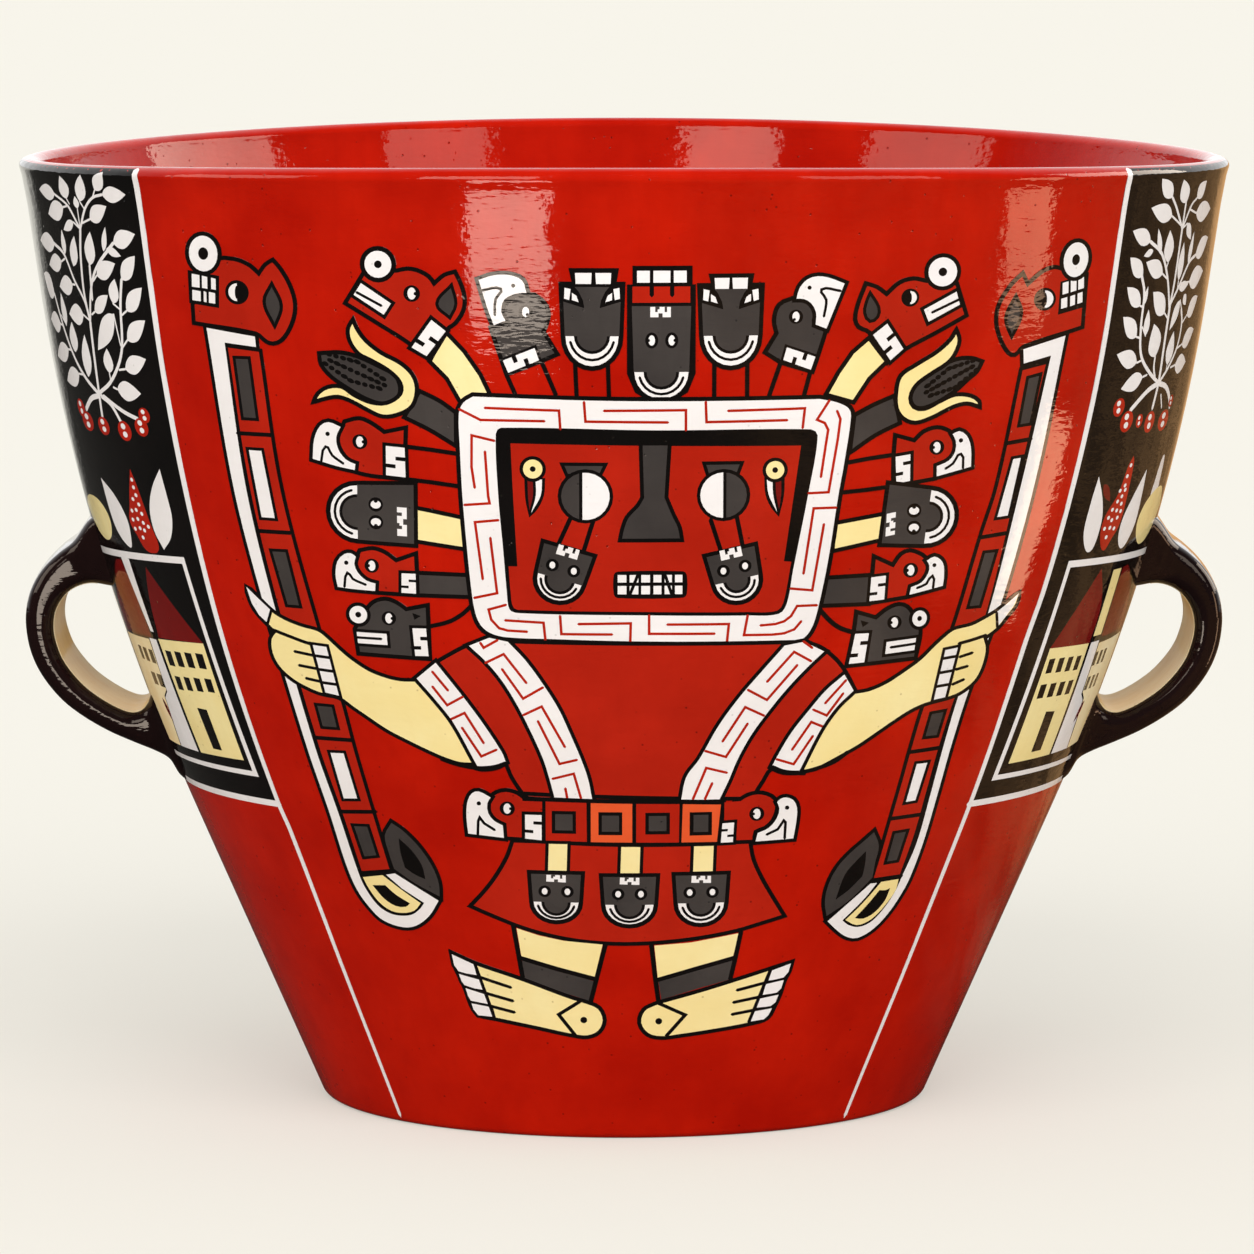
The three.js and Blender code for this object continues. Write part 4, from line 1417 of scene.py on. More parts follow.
for x, z, turn, width, depth, inner, top in (
    (-39.8, 377.6, -16, 14, 13.6, 7.8, 19.5), (70, 376.8, 12.6, 13.6, 13.4, 6.8, 18.6),
):
    square_head(x, z, width, depth, top, inner, turn)
    sign = ((-6.6, top + 2), (6.8, top + 2), (6.8, top - 4.4), (-6.8, top - 4.4))
    toothed([spot_on(x, z, turn, across, up) for across, up in sign])
    for across in (-6.9, 6.9):
        on_front("black", disc(*spot_on(x, z, turn, across, 7.5), 4.0))
        on_front("white", disc(*spot_on(x, z, turn, across, 7.5), 1.8, 2.2))

# Body of the figure: a dark red tunic crossed by white bands with the same thread, bare forearms whose
# hands hold the staffs, a belt of squares with a condor's head at each end, and a skirt.
outlined("red", curve([
    (-72.3, 337, sharp), (112, 335.5, sharp), (122.4, 331.8), (132.2, 323.7), (138.7, 315),
    (145.8, 300.9, sharp), (126, 276), (113.1, 252, sharp), (98.4, 250.5), (92.7, 252.3), (87.6, 244.7),
    (80.5, 233, sharp), (-64, 237, sharp), (-70.4, 247.2), (-74.2, 256.8, sharp), (-89.5, 253),
    (-97.2, 260, sharp), (-109.2, 281.4), (-131.1, 309.6, sharp), (-120, 320), (-111.3, 325.9),
    (-98.3, 333.4), (-83.1, 339, sharp),
]))
for edge, lines in (
    (
        [
            (-96.7, 333.4, sharp), (-86.4, 323.7), (-76.6, 311.8), (-67.9, 297.6), (-59.3, 280.3),
            (-50.6, 260), (-46.8, 247.2), (-43.6, 234.5, sharp), (-20, 233.9, sharp), (-22.5, 247.2),
            (-26.7, 260), (-33.2, 276), (-40.8, 293.3), (-50.6, 309.6), (-61.4, 324.8),
            (-72.3, 336.7, sharp), (-84, 339, sharp),
        ],
        (
            ((-89.6, 335.6), (-87.5, 332.4), (-78.8, 337.6)),
            ((-86.4, 322.6), (-75, 328.6), (-60.9, 310.1)),
            ((-76.1, 318.8), (-63, 299.8), (-50.6, 307.4)), ((-63, 289), (-51.4, 294.9), (-37, 268.4)),
            ((-53.8, 285.2), (-40.4, 257.2), (-29.5, 260)),
            ((-44.8, 247.2), (-31.5, 250.8), (-27, 234.5)), ((-36.8, 240.9), (-35.7, 234.5)),
        ),
    ),
    (
        [
            (100.2, 333.4, sharp), (97.5, 330.2), (86.6, 317.7), (72.5, 300.9), (59.5, 282.5),
            (47.1, 260), (39.1, 248.5), (35.9, 233.2, sharp), (60.1, 233.2, sharp), (65.9, 246),
            (71.5, 260), (80.1, 276), (92.1, 292.8), (104, 307.4), (115.9, 319.9), (125.2, 328.6, sharp),
            (112.5, 335.4, sharp),
        ],
        (
            ((112.1, 335.6), (117.6, 331.3)), ((117, 322.6), (106.2, 329.1), (89.4, 310.1)),
            ((108.3, 320.4), (89.4, 298.2), (77.4, 305.2)), ((87.7, 287.9), (75.8, 293.9), (61.7, 271.6)),
            ((77.4, 283), (63.9, 261.3), (50.8, 265.6)), ((64.6, 250.8), (51.6, 254.3), (43.3, 233.6)),
            ((55.4, 244.1), (50.9, 233.6)),
        ),
    ),
    (
        [
            (-117.8, 321.5, sharp), (-109.2, 310.7), (-98.3, 296.6), (-87.5, 281.4), (-76.6, 264),
            (-74.2, 257.6, sharp), (-80.6, 254.3), (-89.5, 253), (-95.2, 254.4, sharp), (-97.2, 260),
            (-109.2, 281.4), (-120, 295.5), (-131.1, 309.6, sharp),
        ],
        (
            ((-120, 315.6), (-110.2, 303.6)), ((-120, 305.8), (-110.8, 293.9), (-101, 299.8)),
            ((-110.8, 283.5), (-99.9, 289.2), (-88, 269.7)),
            ((-101.6, 279.4), (-89.6, 260.8), (-80, 265.6)),
        ),
    ),
    (
        [
            (138.2, 312.8, sharp), (126.8, 303.1), (115.9, 290.1), (105.1, 276), (95.9, 260),
            (92.9, 253.8, sharp), (100.3, 250.4), (112.6, 249.6, sharp), (117, 260), (125.7, 276),
            (135.5, 290.1), (144.7, 300.9, sharp),
        ],
        (
            ((139.3, 309), (126.2, 294.4)), ((137.6, 300.4), (127.3, 286.3), (118.7, 290.6)),
            ((126.8, 278.1), (117.6, 282.5), (105.6, 264.6)),
            ((118.7, 273.2), (106.7, 254.9), (95.8, 258.7)),
        ),
    ),
):
    filled(("white", curve(edge)), line=edge_width)
    for line in lines:
        on_front("red", stroke(line, thread_width))

# Forearms and hands: the nail of the thumb, the knuckles, and the white nails of the closed fingers
for arm, thumb, thumb_line, knuckles, fingers, nails, gaps, reach, slope in (
    (
        [
            (-239, 363.2, sharp), (-222.8, 348.2), (-214.1, 343.4), (-203.2, 339.9), (-192.4, 337.5),
            (-186.6, 333.2), (-179, 326.4), (-171.4, 320.3), (-160.4, 313.6), (-149.3, 309.8),
            (-140.3, 308.2), (-131.2, 308.4, sharp), (-120, 295.5), (-109.2, 281.4), (-96, 256.5, sharp),
            (-103, 256.6), (-110, 258.4), (-120, 262.2), (-138.8, 270.7), (-149.7, 276.1), (-160.5, 283),
            (-171.3, 290), (-179.3, 295.3), (-192.1, 297.3), (-202.8, 301.2), (-211.2, 305.9),
            (-218.4, 312.6), (-222.5, 320.8), (-223, 329.9), (-219.6, 335, sharp), (-222.4, 337.6),
            (-233.6, 349.4),
        ],
        [(-239, 363.2), (-230.5, 355.5), (-223, 349), (-225.4, 340.4), (-231, 345.2), (-235.6, 352.6)],
        [(-222.6, 349.8), (-225.4, 340.2)],
        [(-222, 336.2), (-209.7, 332.4), (-197.8, 329.1), (-186.4, 328.2)],
        (
            ((-208.1, 323.1), (-196.2, 321.5)), ((-205.4, 314.1), (-193.6, 312.8)),
            ((-201, 305.8), (-191.4, 304.4)),
        ),
        [(-196.2, 328.4), (-187.4, 327.8), (-179.9, 296), (-188.6, 297.4)],
        ((-190, 321.1), (-187.9, 312.2), (-185.9, 303.6)), 4.7, -0.3,
    ),
    (
        [
            (250.6, 357.6, sharp), (244.9, 353), (236.4, 346.8), (228.7, 342.9), (219.9, 339.2),
            (208.2, 337.1), (202.9, 333.5), (196.1, 327.6), (187.4, 319.3), (176.4, 311.7),
            (165.5, 305.1), (154.4, 300.8), (145.4, 299.6, sharp), (135.5, 290.1), (125.7, 276),
            (113.4, 251, sharp), (120.7, 252), (139.2, 261.2), (147.8, 265.8), (158.6, 272.8),
            (169.5, 279.9), (180.5, 286.4), (190.6, 290.3), (210, 294.3), (219.7, 299.8), (224.8, 305.7),
            (228.4, 315.3), (229.4, 323.5), (227.6, 330.4, sharp), (236.9, 336.7), (242.2, 343),
            (248, 350),
        ],
        [(250.6, 357.6), (243.5, 352), (236.4, 346.8), (236.9, 336.9), (242.2, 343), (247.6, 350)],
        [(236.1, 346.2), (236.8, 336.4)], [(229.4, 331.8), (220, 329.6), (211.7, 328)],
        (((212.4, 319), (220.7, 321)), ((210, 310.8), (217.7, 312.3)), ((208, 301), (215.5, 303.6))),
        [(202.9, 324.4), (211, 325.4), (203.4, 292.9), (196.1, 291.8)],
        ((205.6, 319.3), (203.4, 309.9), (201.4, 300.9)), 4.6, 0.4,
    ),
):
    filled(("yellow", curve(arm)), line=edge_width)
    on_front("white", thumb)
    ink(thumb_line, 1.9)
    ink(knuckles, 2.2, smooth=True)
    for line in fingers:
        ink(line, 2.0)
    filled(("white", nails), line=2.0)
    for x, z in gaps:
        ink([(x - reach, z - slope), (x + reach, z + slope)], 2.0)
for cuff in (
    [(-115, 258.1), (-107.3, 255.5), (-98.4, 253.6), (-89.5, 253), (-80.6, 254.3), (-74.2, 256.8)],
    [(93.3, 253.6), (100.3, 250.4), (110.5, 249.2), (120.7, 251.1), (132.5, 255.1), (141, 261)],
):
    ink(cuff, smooth=True)

# Skirt, then the belt over it
outlined("red", curve([
    (-70.4, 205, sharp), (-74.2, 193.7), (-81.8, 179.6), (-89.5, 168.8), (-97.8, 159, sharp),
    (-83.1, 152.9), (-66.5, 146.5), (-51.2, 142), (-32.1, 138.2), (-13, 136.3), (3.6, 135.9),
    (25.3, 136.9), (49.3, 139.5), (71, 143.3), (87.6, 147.8), (102.2, 151.9, sharp), (95.2, 164.3),
    (87.6, 178.4), (81.8, 192.4), (79.6, 205, sharp),
]))
on_front("black", curve([
    (-66, 238.4, sharp), (-60.2, 235.3), (-42.3, 234.8), (-18, 234.1), (36, 233.6), (64.2, 232.4, sharp),
    (61.4, 201.9, sharp), (-6.6, 202), (-51.2, 203.5), (-66, 204.2, sharp),
]))
for colour, corners, hole, core in (
    (
        "red", [(-49.3, 231.9), (-23.6, 231.4), (-23.4, 205.3), (-49.3, 205.6)],
        (-45.5, 225.8, -30.2, 210.6), (-43.3, 223.6, -32.3, 212.8),
    ),
    (
        "orange", [(-20.9, 231.3), (5.2, 230.9), (5.2, 204.9), (-20.9, 205.1)],
        (-16.1, 225.3, -1.1, 209.9), (-13.9, 223, -3.1, 212.2),
    ),
    (
        "red", [(7.7, 230.9), (34.9, 230.5), (34.6, 204.7), (7.7, 204.9)], (13.4, 224.9, 28.9, 210.3),
        (15.6, 222.7, 26.7, 212.5),
    ),
    (
        "orange", [(37, 230.4), (61, 229.6), (58.6, 204.6), (36.2, 204.7)], (41.3, 224.9, 55.4, 209.2),
        (43.8, 223, 53.1, 211.5),
    ),
):
    on_front(colour, corners)
    for name, (left, top, right, low) in (("black", hole), ("grey", core)):
        on_front(name, [(left, top), (right, top), (right, low), (left, low)])

# Condors' heads at the ends of the belt
outlined("red", curve([
    (-85.2, 233.4, sharp), (-80.6, 237.3), (-74.2, 239), (-67.2, 237.3), (-62.6, 233.9, sharp),
    (-62.6, 206, sharp), (-76, 206.4, sharp), (-75.4, 215.4, sharp), (-80.6, 217.3), (-84.4, 221.7),
    (-85.8, 228.8),
]))
on_front("red", [(-66, 232), (-51.5, 231.8), (-51.5, 225), (-66, 225)])
filled(("white", curve([
    (-98.4, 208.6, sharp), (-99.4, 219.2), (-98.8, 229.4), (-95.9, 235.8), (-91.4, 237.3),
    (-84, 233.6, sharp), (-86.1, 229.4), (-85.6, 223), (-81.8, 217.9), (-76.4, 215.1, sharp),
    (-75.8, 206.7, sharp), (-90.8, 208),
])), line=edge_width)
on_front("black", disc(-91.5, 229.3, 1.4))
ink([(-92.3, 208.3), (-92, 217.3), (-91, 219.8), (-88.2, 216), (-81.6, 211.8)], 1.8)
small_eye(-73.5, 226.5, 4.8, 180)
hooked([(-62.3, 222.8), (-51.9, 222.8), (-51.9, 205.8), (-62.3, 206.7)], 0.26, 0.62, 2.2)
outlined("red", curve([
    (72.9, 232.8, sharp), (77.3, 235.5), (83.7, 237), (90.1, 235.8), (95.5, 231.9), (96.5, 225.6),
    (93.9, 217.9), (88.8, 212.8), (83.1, 210.5), (82.4, 203.9, sharp), (69.6, 203.9, sharp),
    (69.6, 232, sharp),
]))
on_front("red", [(63.2, 231), (74, 231.6), (74, 206), (71.5, 206), (71.5, 219.4), (63.2, 219)])
filled(("white", curve([
    (96.5, 230, sharp), (99, 232.2), (102.2, 232.8), (106.7, 230.9), (109.2, 225.6), (108.9, 216.6),
    (107.1, 204.8, sharp), (83.1, 203.9, sharp), (84.4, 209.6, sharp), (91.4, 212.8), (96.5, 219.2),
    (98, 225.6),
])), line=edge_width)
on_front("black", disc(102.9, 225.9, 1.4))
ink([(101.6, 205.2), (102, 216), (100.9, 217.3), (97.1, 211.5), (90.1, 208.3)], 1.8)
small_eye(83.7, 222.6, 4.8, 0)
hooked([(62, 216.9), (69.4, 217.3), (68.7, 204.1), (61.1, 203.9)], 0.6, 0.3, 2.0)

# Three heads that hang on the skirt
for left, right, top, x, z, width, depth, inner in (
    (-47.4, -35.7, 203.5, -43.0, 163.9, 14.2, 12.2, 7.5),
    (-1.7, 10.3, 201.9, 3.5, 162.6, 15.2, 13.2, 8.0), (44.2, 56.6, 201.9, 48.8, 163.2, 14.6, 13.6, 7.6),
):
    foot = z + 19.5
    filled(("yellow", [(left, top), (right, top), (right - 0.6, foot), (left - 0.6, foot)]), line=2.2)
    square_head(x, z, width, depth, 19.0, inner)
    toothed([(x - 6, z + 18.6), (x + 6.2, z + 18.4), (x + 6.2, z + 13.6), (x - 6.2, z + 14)])
    for across in (-7.2, 7.2):
        on_front("black", disc(x + across, z + 7.3, 4.0))
        on_front("white", disc(x + across, z + 7.3, 1.8, 2.2))

# Legs and feet
for shin, anklet, lines, foot, nails, divider, toes, ankle, spot in (
    (
        [
            (-68.2, 145.2), (-53.8, 140.7), (-38.5, 137.6), (-13.6, 135.4), (-18.7, 112.9), (-43.6, 119.1),
            (-65.3, 126.1),
        ],
        [(-64.9, 123.5), (-42.3, 117.1), (-19.3, 110.1), (-22.5, 96.7), (-38.5, 101.8), (-63.3, 109.5)],
        (
            ((-70.4, 147.1), (-67.2, 127.3), (-64.6, 111.4)),
            ((-11.7, 135.6), (-16.8, 114.6), (-21.3, 95.5)), ((-66, 124.9), (-43, 118.2), (-18, 111.5)),
        ),
        [
            (-110.5, 126.3, sharp), (-94.6, 119.7), (-66.5, 110.8), (-33.4, 98.6), (-21.3, 94.8),
            (-15.5, 91.6), (-12.3, 83.3), (-15.5, 75), (-23.2, 71.2), (-32.1, 71.9), (-57.6, 77),
            (-82.5, 81.4), (-93.3, 83.3), (-97.1, 87.8), (-99.7, 94.2), (-101.6, 100.6), (-105.4, 109.5),
            (-108.6, 117.1),
        ],
        (
            [(-110, 124.8), (-96.1, 118.8), (-94.2, 111.4), (-105.4, 112.6), (-108.6, 117.4)],
            [(-105.6, 111.4), (-92.3, 108.2), (-90.4, 101.5), (-101.2, 102.6), (-103.8, 106.3)],
            [(-101.4, 101.8), (-88.9, 98.3), (-86.9, 91.6), (-97.6, 92.4), (-99.8, 96.4)],
            [(-97.6, 91.4), (-85.7, 89.7), (-84, 83), (-93.4, 83.4), (-96.4, 87.2)],
        ),
        ((-95.2, 119.1), (-83.1, 82.7)),
        (((-92, 110.1), (-72.3, 104.1)), ((-89.5, 99.5), (-71, 94.8)), ((-86.3, 90.6), (-70.1, 86.9))),
        [(-28.3, 95.8), (-41.7, 86.5), (-30.8, 71.9)], (-25.7, 83.1),
    ),
    (
        [(19.3, 134.6), (42.9, 136.3), (73.1, 141.6), (69.4, 125.8), (46.7, 119.7), (21.5, 112.4)],
        [(21.9, 109.7), (46.7, 117.1), (69.1, 123.3), (66.5, 109.7), (49.3, 105), (23.8, 97.4)],
        (
            ((17.4, 135), (19.9, 112), (22.1, 95.5)), ((74.4, 142.7), (71, 124.8), (67.8, 110.1)),
            ((21.5, 111), (46.7, 118.4), (70.4, 124.8)),
        ),
        [
            (22.1, 95.5, sharp), (49.3, 103.1), (71, 109.5), (92.7, 115.9), (107.7, 120, sharp),
            (106, 113.3), (102.9, 106.9), (100.3, 98), (96.5, 89.1), (92, 81.4), (81.2, 78.2),
            (55.7, 74.4), (36.5, 71.9), (23.8, 70.6), (14.8, 73.1), (9.7, 81.4), (12.3, 90.4),
            (18.7, 94.2),
        ],
        (
            [(94.6, 114.6), (106.6, 118.6), (105.2, 113), (101.6, 108.6), (92.4, 107.8)],
            [(90.7, 105.3), (102.2, 107.4), (100.6, 101.8), (97.8, 98.9), (88.8, 98)],
            [(87.2, 95.5), (99, 97.4), (97, 92.2), (93.8, 89.7), (85, 89.3)],
            [(83.7, 86.8), (94.8, 88.2), (92.6, 83.6), (89.6, 80.8), (81.2, 79.9)],
        ),
        ((93.3, 114.6), (79.9, 79.5)),
        (((72.2, 102.2), (90.1, 106.3)), ((70, 93.8), (88.2, 97)), ((69.1, 85.5), (83.7, 87.8))),
        [(22.1, 94.8), (39.1, 86.3), (27, 71.9)], (22.2, 82.3),
    ),
):
    on_front("yellow", shin)
    on_front("grey", anklet)
    for line in lines:
        ink(line, 3.0)
    outlined("yellow", curve(foot))
    for nail in nails:
        filled(("white", nail), line=1.8)
    ink(divider, 2.2)
    for line in toes:
        ink(line, 2.2)
    ink(ankle, 2.4)
    on_front("black", disc(*spot, 2.2))

# Slips on the wall: the drawing is cut into one flat sheet of triangles, each region takes the colour of
# the last outline over it, and every colour is raised from the wall as a thin skin. The back of the urn
# carries the same drawing, turned half way round.
slip_height = 0.0008
slip_depth = 0.0012
mesh_pitch = 11.0
closest_points = 0.02
even_top = 610.0
section = wall_profile()
section = [point for point, after in zip(section, section[1:]) if after[1] > point[1] > 0]
section = section[:section.index(max(section, key=lambda point: point[1])) + 1]


def painted_radius(z):
    """Outer radius of the wall's skin, in mm, at a height in mm, up over the shoulder of the lip."""
    for (r0, z0), (r1, z1) in zip(section, section[1:]):
        if z <= z1:
            return r0 + (r1 - r0) * (z - z0) / (z1 - z0)
    return section[-1][0]


def undipped(x, y, z):
    """Height, in mm, that a point of the rim had before the rim was pressed down."""
    pressed = rim_dip * x**2 / (x**2 + y**2) / (rim_top - rim_joint)
    return max((z - rim_joint * pressed) / (1 - pressed), z) if z > rim_joint else z


def winding(outline, x, z):
    """How often a closed outline runs round a point."""
    turns = 0
    for (x0, z0), (x1, z1) in zip(outline, outline[1:] + outline[:1]):
        if (z0 <= z) != (z1 <= z):
            left = (x1 - x0) * (z - z0) - (x - x0) * (z1 - z0)
            if z0 <= z and left > 0:
                turns += 1
            elif z1 <= z and left < 0:
                turns -= 1
    return turns


def colours_of_sheet():
    """The corners of the cut sheet, and the triangles of each colour."""
    points, edges, areas = [], [], []
    for name, outline in painting:
        first = len(points)
        points += outline
        edges += [(first + i, first + (i + 1) % len(outline)) for i in range(len(outline))]
        area = sum(a[0] * b[1] - b[0] * a[1] for a, b in zip(outline, outline[1:] + outline[:1]))
        along = [a for a, _ in outline]
        up = [z for _, z in outline]
        areas.append((name, outline, area, min(along), max(along), min(up), max(up)))
    across = round(2 * quarter_turn / mesh_pitch)
    rows = [row * mesh_pitch for row in range(int(section[0][1]), int(even_top / mesh_pitch))]
    rows += [z for _, z in section if even_top < z < panel_top]
    pitch = 2 * quarter_turn / across
    for row, height in enumerate(rows):
        start = 0.5 * (row % 2) * pitch - quarter_turn
        points += [(start + i * pitch, height) for i in range(across)]
    points = [Vector(point) for point in points]
    corners, lines, faces, _, sources, _ = delaunay_2d_cdt(points, edges, [], 0, closest_points, True)
    fences = {tuple(sorted(line)) for line, source in zip(lines, sources) if source}
    beside = {}
    for index, face in enumerate(faces):
        for pair in zip(face, face[1:] + face[:1]):
            beside.setdefault(tuple(sorted(pair)), []).append(index)

    def size(face):
        """Twice the area of a triangle."""
        (x0, z0), (x1, z1), (x2, z2) = (corners[i] for i in face)
        return abs((x1 - x0) * (z2 - z0) - (x2 - x0) * (z1 - z0))

    waiting = set(range(len(faces)))
    by_colour = {}
    while waiting:
        region = [waiting.pop()]
        for index in region:
            face = faces[index]
            for pair in zip(face, face[1:] + face[:1]):
                pair = tuple(sorted(pair))
                if pair not in fences:
                    for other in beside[pair]:
                        if other in waiting:
                            waiting.remove(other)
                            region.append(other)
        largest = faces[max(region, key=lambda index: size(faces[index]))]
        x = sum(corners[i][0] for i in largest) / 3
        z = sum(corners[i][1] for i in largest) / 3
        for name, outline, area, x0, x1, z0, z1 in reversed(areas):
            if x0 < x < x1 and z0 < z < z1 and winding(outline, x, z) * area > 0:
                by_colour.setdefault(name, []).extend(faces[index] for index in region)
                break
    return corners, by_colour


def raised(corners, faces):
    """A thin closed skin over the given triangles, on the front and on the back."""
    used = sorted({i for face in faces for i in face})
    row = {old: new for new, old in enumerate(used)}
    skin = bmesh.new()
    for way in (1, -1):
        spots = []
        for i in used:
            turn, z = corners[i][0] / unrolled, corners[i][1]
            radius = painted_radius(z) * (1 - slip_depth)
            x, y = way * radius * math.sin(turn), -way * radius * math.cos(turn)
            spots.append(skin.verts.new((x * mm, y * mm, dipped(x, y, z) * mm)))
        for face in faces:
            skin.faces.new([spots[row[i]] for i in face])
    for spot in list(skin.verts):
        if sum(edge.is_boundary for edge in spot.link_edges) > 2:
            bmesh.utils.vert_separate(spot, [edge for edge in spot.link_edges if edge.is_boundary])
    mesh = bpy.data.meshes.new("slip")
    skin.to_mesh(mesh)
    skin.free()
    piece = bpy.data.objects.new("slip", mesh)
    bpy.context.collection.objects.link(piece)
    bpy.ops.object.select_all(action="DESELECT")
    bpy.context.view_layer.objects.active = piece
    piece.select_set(True)
    bpy.ops.object.mode_set(mode="EDIT")
    bpy.ops.mesh.select_all(action="SELECT")
    bpy.ops.mesh.extrude_region_move()
    size = (1 + slip_height) / (1 - slip_depth)
    bpy.ops.transform.resize(value=(size, size, 1), center_override=(0, 0, 0))
    bpy.ops.mesh.select_all(action="SELECT")
    bpy.ops.mesh.normals_make_consistent(inside=False)
    bpy.ops.object.mode_set(mode="OBJECT")
    return piece


def smoothed(piece):
    """Gives a slip the wall's own smooth shading, so that its many triangles don't show."""
    mesh = piece.data
    mesh.shade_smooth()
    normals = [None] * len(mesh.loops)
    for face in mesh.polygons:
        inward = face.normal.xy.dot(face.center.xy) < -0.5 * face.center.xy.length
        side = -1 if inward else 1
        for loop in face.loop_indices:
            spot = mesh.vertices[mesh.loops[loop].vertex_index].co
            height = undipped(*(c / mm for c in spot))
            slope = painted_radius(height + 0.5) - painted_radius(height - 0.5)
            normals[loop] = side * Vector((*spot.xy.normalized(), -slope)).normalized()
    mesh.normals_split_custom_set(normals)


slip_finishes = {
    "black": glazed("black slip", pigment(20, 16, 15), pigment(14, 12, 11), pigment(7, 6, 6)),
    "white": glazed(
        "white slip", pigment(250, 244, 242), pigment(243, 236, 233), pigment(150, 140, 130), pitted=0.4
    ),
    "yellow": glazed(
        "yellow slip", pigment(255, 236, 172), pigment(250, 225, 152), pigment(150, 110, 60), pitted=0.6
    ),
    "grey": glazed("grey slip", pigment(72, 66, 63), pigment(58, 53, 51), pigment(28, 27, 27)),
    "orange": glazed("orange slip", pigment(238, 98, 52), pigment(226, 82, 40), pigment(130, 40, 20)),
    "maroon": glazed("maroon slip", pigment(124, 22, 20), pigment(108, 18, 16), pigment(60, 10, 10)),
    "red": glazed("red slip", pigment(188, 36, 18), pigment(170, 30, 14), pigment(80, 14, 8)),
    "cream": cream_ground,
}
sheet_corners, sheet_colours = colours_of_sheet()
for name, finish in slip_finishes.items():
    slip = raised(sheet_corners, sheet_colours[name])
    smoothed(slip)
    finished(slip, name + "_slip", finish)

# Studio: a pale floor that runs back past the horizon, even light from all round, two broad soft lamps
# high in front, and soft windows and a warm streaked surface that show only as reflections in the glaze.
floor_colour = pigment(243, 240, 230)
floor_glow = 0.455
floor_seen = 0.49
floor_bounce = 0.6
floor_finish = bpy.data.materials.new("pale floor")
floor_finish.use_nodes = True
floor_nodes, floor_links = floor_finish.node_tree.nodes, floor_finish.node_tree.links
floor_surface = floor_nodes["Principled BSDF"]
floor_surface.inputs["Roughness"].default_value = 0.9
floor_surface.inputs["Specular IOR Level"].default_value = 0.0
floor_surface.inputs["Emission Color"].default_value = floor_colour


def spread(tree, value, low, high, to_low, to_high):
    """A value moved from one range to another and held inside it."""
    step = tree.nodes.new("ShaderNodeMapRange")
    for socket, number in zip(step.inputs[1:5], (low, high, to_low, to_high)):
        socket.default_value = number
    tree.links.new(value, step.inputs["Value"])
    return step.outputs["Result"]


def joined(tree, operation, *values):
    """Two or three values put together by one operation."""
    step = tree.nodes.new("ShaderNodeMath")
    step.operation = operation
    for socket, value in zip(step.inputs, values):
        if isinstance(value, float):
            socket.default_value = value
        else:
            tree.links.new(value, socket)
    return step.outputs["Value"]


def mixed(tree, share, under, over, kind="FLOAT"):
    """Two values or two colours mixed by a share."""
    step = tree.nodes.new("ShaderNodeMix")
    step.data_type = kind
    tree.links.new(share, step.inputs["Factor"])
    for socket, value in ((step.inputs["A"], under), (step.inputs["B"], over)):
        if isinstance(value, (float, list)):
            socket.default_value = value
        else:
            tree.links.new(value, socket)
    return step.outputs["Result"]


floor_tree = floor_finish.node_tree
floor_path = floor_tree.nodes.new("ShaderNodeLightPath").outputs
floor_place = floor_tree.nodes.new("ShaderNodeTexCoord").outputs["Object"]
floor_spot = floor_tree.nodes.new("ShaderNodeSeparateXYZ")
floor_links.new(floor_place, floor_spot.inputs["Vector"])
beside, along, _ = floor_spot.outputs
streaks = floor_tree.nodes.new("ShaderNodeTexNoise")
streaks.inputs["Scale"].default_value = 6.0
floor_links.new(floor_place, streaks.inputs["Vector"])
behind = joined(floor_tree, "MULTIPLY_ADD", joined(floor_tree, "ABSOLUTE", beside), -1.5, along)
far_share = spread(floor_tree, behind, 0.6, 2.8, 0.06, 0.9)
near_share = joined(
    floor_tree, "MULTIPLY", spread(floor_tree, beside, 0.22, 0.6, 0.0, 0.6),
    spread(floor_tree, streaks.outputs["Fac"], 0.4, 0.6, 0.4, 1.0),
)
glossy_share = joined(floor_tree, "MAXIMUM", far_share, near_share)
share = mixed(floor_tree, floor_path["Is Glossy Ray"], floor_bounce, glossy_share)
share = mixed(floor_tree, floor_path["Is Camera Ray"], share, floor_seen)
warm_side = spread(floor_tree, beside, 0.0, 0.5, 0.0, 1.0)
warmth = joined(floor_tree, "MULTIPLY", warm_side, floor_path["Is Glossy Ray"])
tone = mixed(floor_tree, warmth, floor_colour, pigment(228, 176, 120), "RGBA")
floor_links.new(mixed(floor_tree, share, [0, 0, 0, 1], tone, "RGBA"), floor_surface.inputs["Base Color"])
glow = joined(floor_tree, "MULTIPLY", floor_path["Is Camera Ray"], floor_glow)
floor_links.new(glow, floor_surface.inputs["Emission Strength"])
bpy.ops.mesh.primitive_plane_add(size=120)
floor = bpy.context.object
floor.name = "floor"
floor.data.materials.append(floor_finish)

world_strength = 0.78
world = bpy.data.worlds.new("studio")
world.use_nodes = True
world_nodes, world_links = world.node_tree.nodes, world.node_tree.links
world_nodes["Background"].inputs["Color"].default_value = pigment(252, 252, 252)
world_path = world_nodes.new("ShaderNodeLightPath").outputs
heading = world_nodes.new("ShaderNodeSeparateXYZ")
world_links.new(world_nodes.new("ShaderNodeTexCoord").outputs["Generated"], heading.inputs["Vector"])
mirrored = spread(world.node_tree, heading.outputs["Y"], -0.1, 0.5, 0.08, 1.4)
strength = mixed(world.node_tree, world_path["Is Glossy Ray"], world_strength, mirrored)
world_links.new(strength, world_nodes["Background"].inputs["Strength"])
bpy.context.scene.world = world

window_colour = (1.0, 0.84, 0.7)
warm_colour = (1.0, 0.6, 0.36)


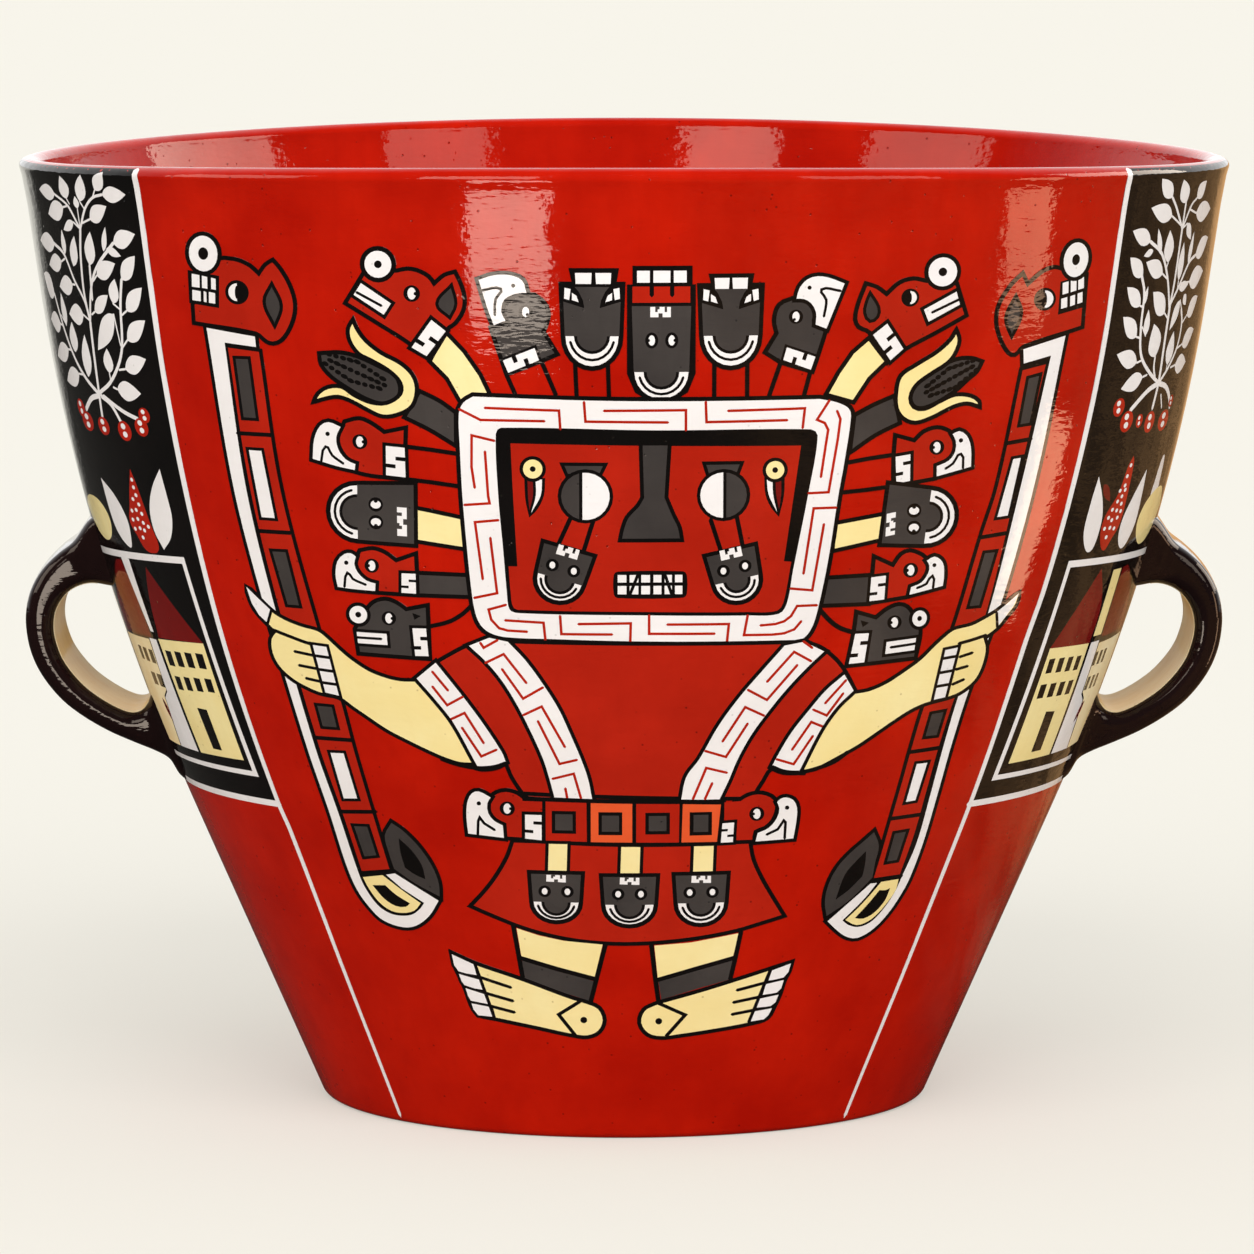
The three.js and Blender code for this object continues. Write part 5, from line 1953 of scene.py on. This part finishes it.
def lamp(name, kind, place, aim, power):
    """A lamp at a place, turned to an aim, that the camera doesn't see."""
    light = bpy.data.lights.new(name, kind)
    light.energy = power
    holder = bpy.data.objects.new(name, light)
    holder.location = place
    holder.rotation_euler = (Vector(aim) - Vector(place)).to_track_quat("-Z", "Y").to_euler()
    holder.visible_camera = False
    bpy.context.collection.objects.link(holder)
    return holder


for name, place, aim, width, height, power, tint in (
    ("low left window", (-0.50, -1.43, 0.27), (-0.07, -0.384, 0.6), 0.36, 0.3, 5.0, window_colour),
    ("low right window", (1.21, -0.39, 0.42), (0.25, -0.3, 0.6), 0.23, 0.3, 1.8, warm_colour),
    ("low right pane", (0.75, -0.155, 0.2), (0.26, -0.25, 0.41), 0.09, 0.2, 0.54, warm_colour),
    ("front left window", (-0.74, -1.63, 1.1), (0.07, 0.38, 1.1), 0.66, 0.8, 13.0, window_colour),
    ("front right window", (1.23, -1.32, 1.1), (-0.13, 0.36, 1.1), 0.77, 0.8, 9.0, window_colour),
    ("right window", (1.8, 0.44, 1.1), (-0.28, 0.26, 1.1), 1.28, 0.8, 26.0, window_colour),
    ("left window", (-1.74, -0.55, 1.1), (0.21, 0.32, 1.1), 0.98, 0.8, 12.0, window_colour),
):
    glint = lamp(name, "AREA", place, aim, power)
    glint.data.color = tint
    glint.data.shape = "RECTANGLE"
    glint.data.size = width
    glint.data.size_y = height
    glint.visible_diffuse = False
    glint.data.use_shadow = False
for name, place, power in (("right key", (1.2, -3.2, 3.0), 1.2), ("left key", (-1.2, -3.2, 3.0), 1.08)):
    key = lamp(name, "SUN", place, (0, 0, 0.3), power)
    key.data.angle = math.radians(40)
    key.visible_glossy = False

camera_data = bpy.data.cameras.new("camera")
camera_data.lens = 218.35
camera_data.sensor_width = 36.0
camera_data.shift_x = 0.0024
camera = bpy.data.objects.new("camera", camera_data)
camera.location = (0, -5.0434, 0.84787)
camera.rotation_euler = (math.radians(90 - 6.08), 0, 0)
bpy.context.collection.objects.link(camera)
bpy.context.scene.camera = camera
bpy.context.scene.view_settings.view_transform = "Standard"
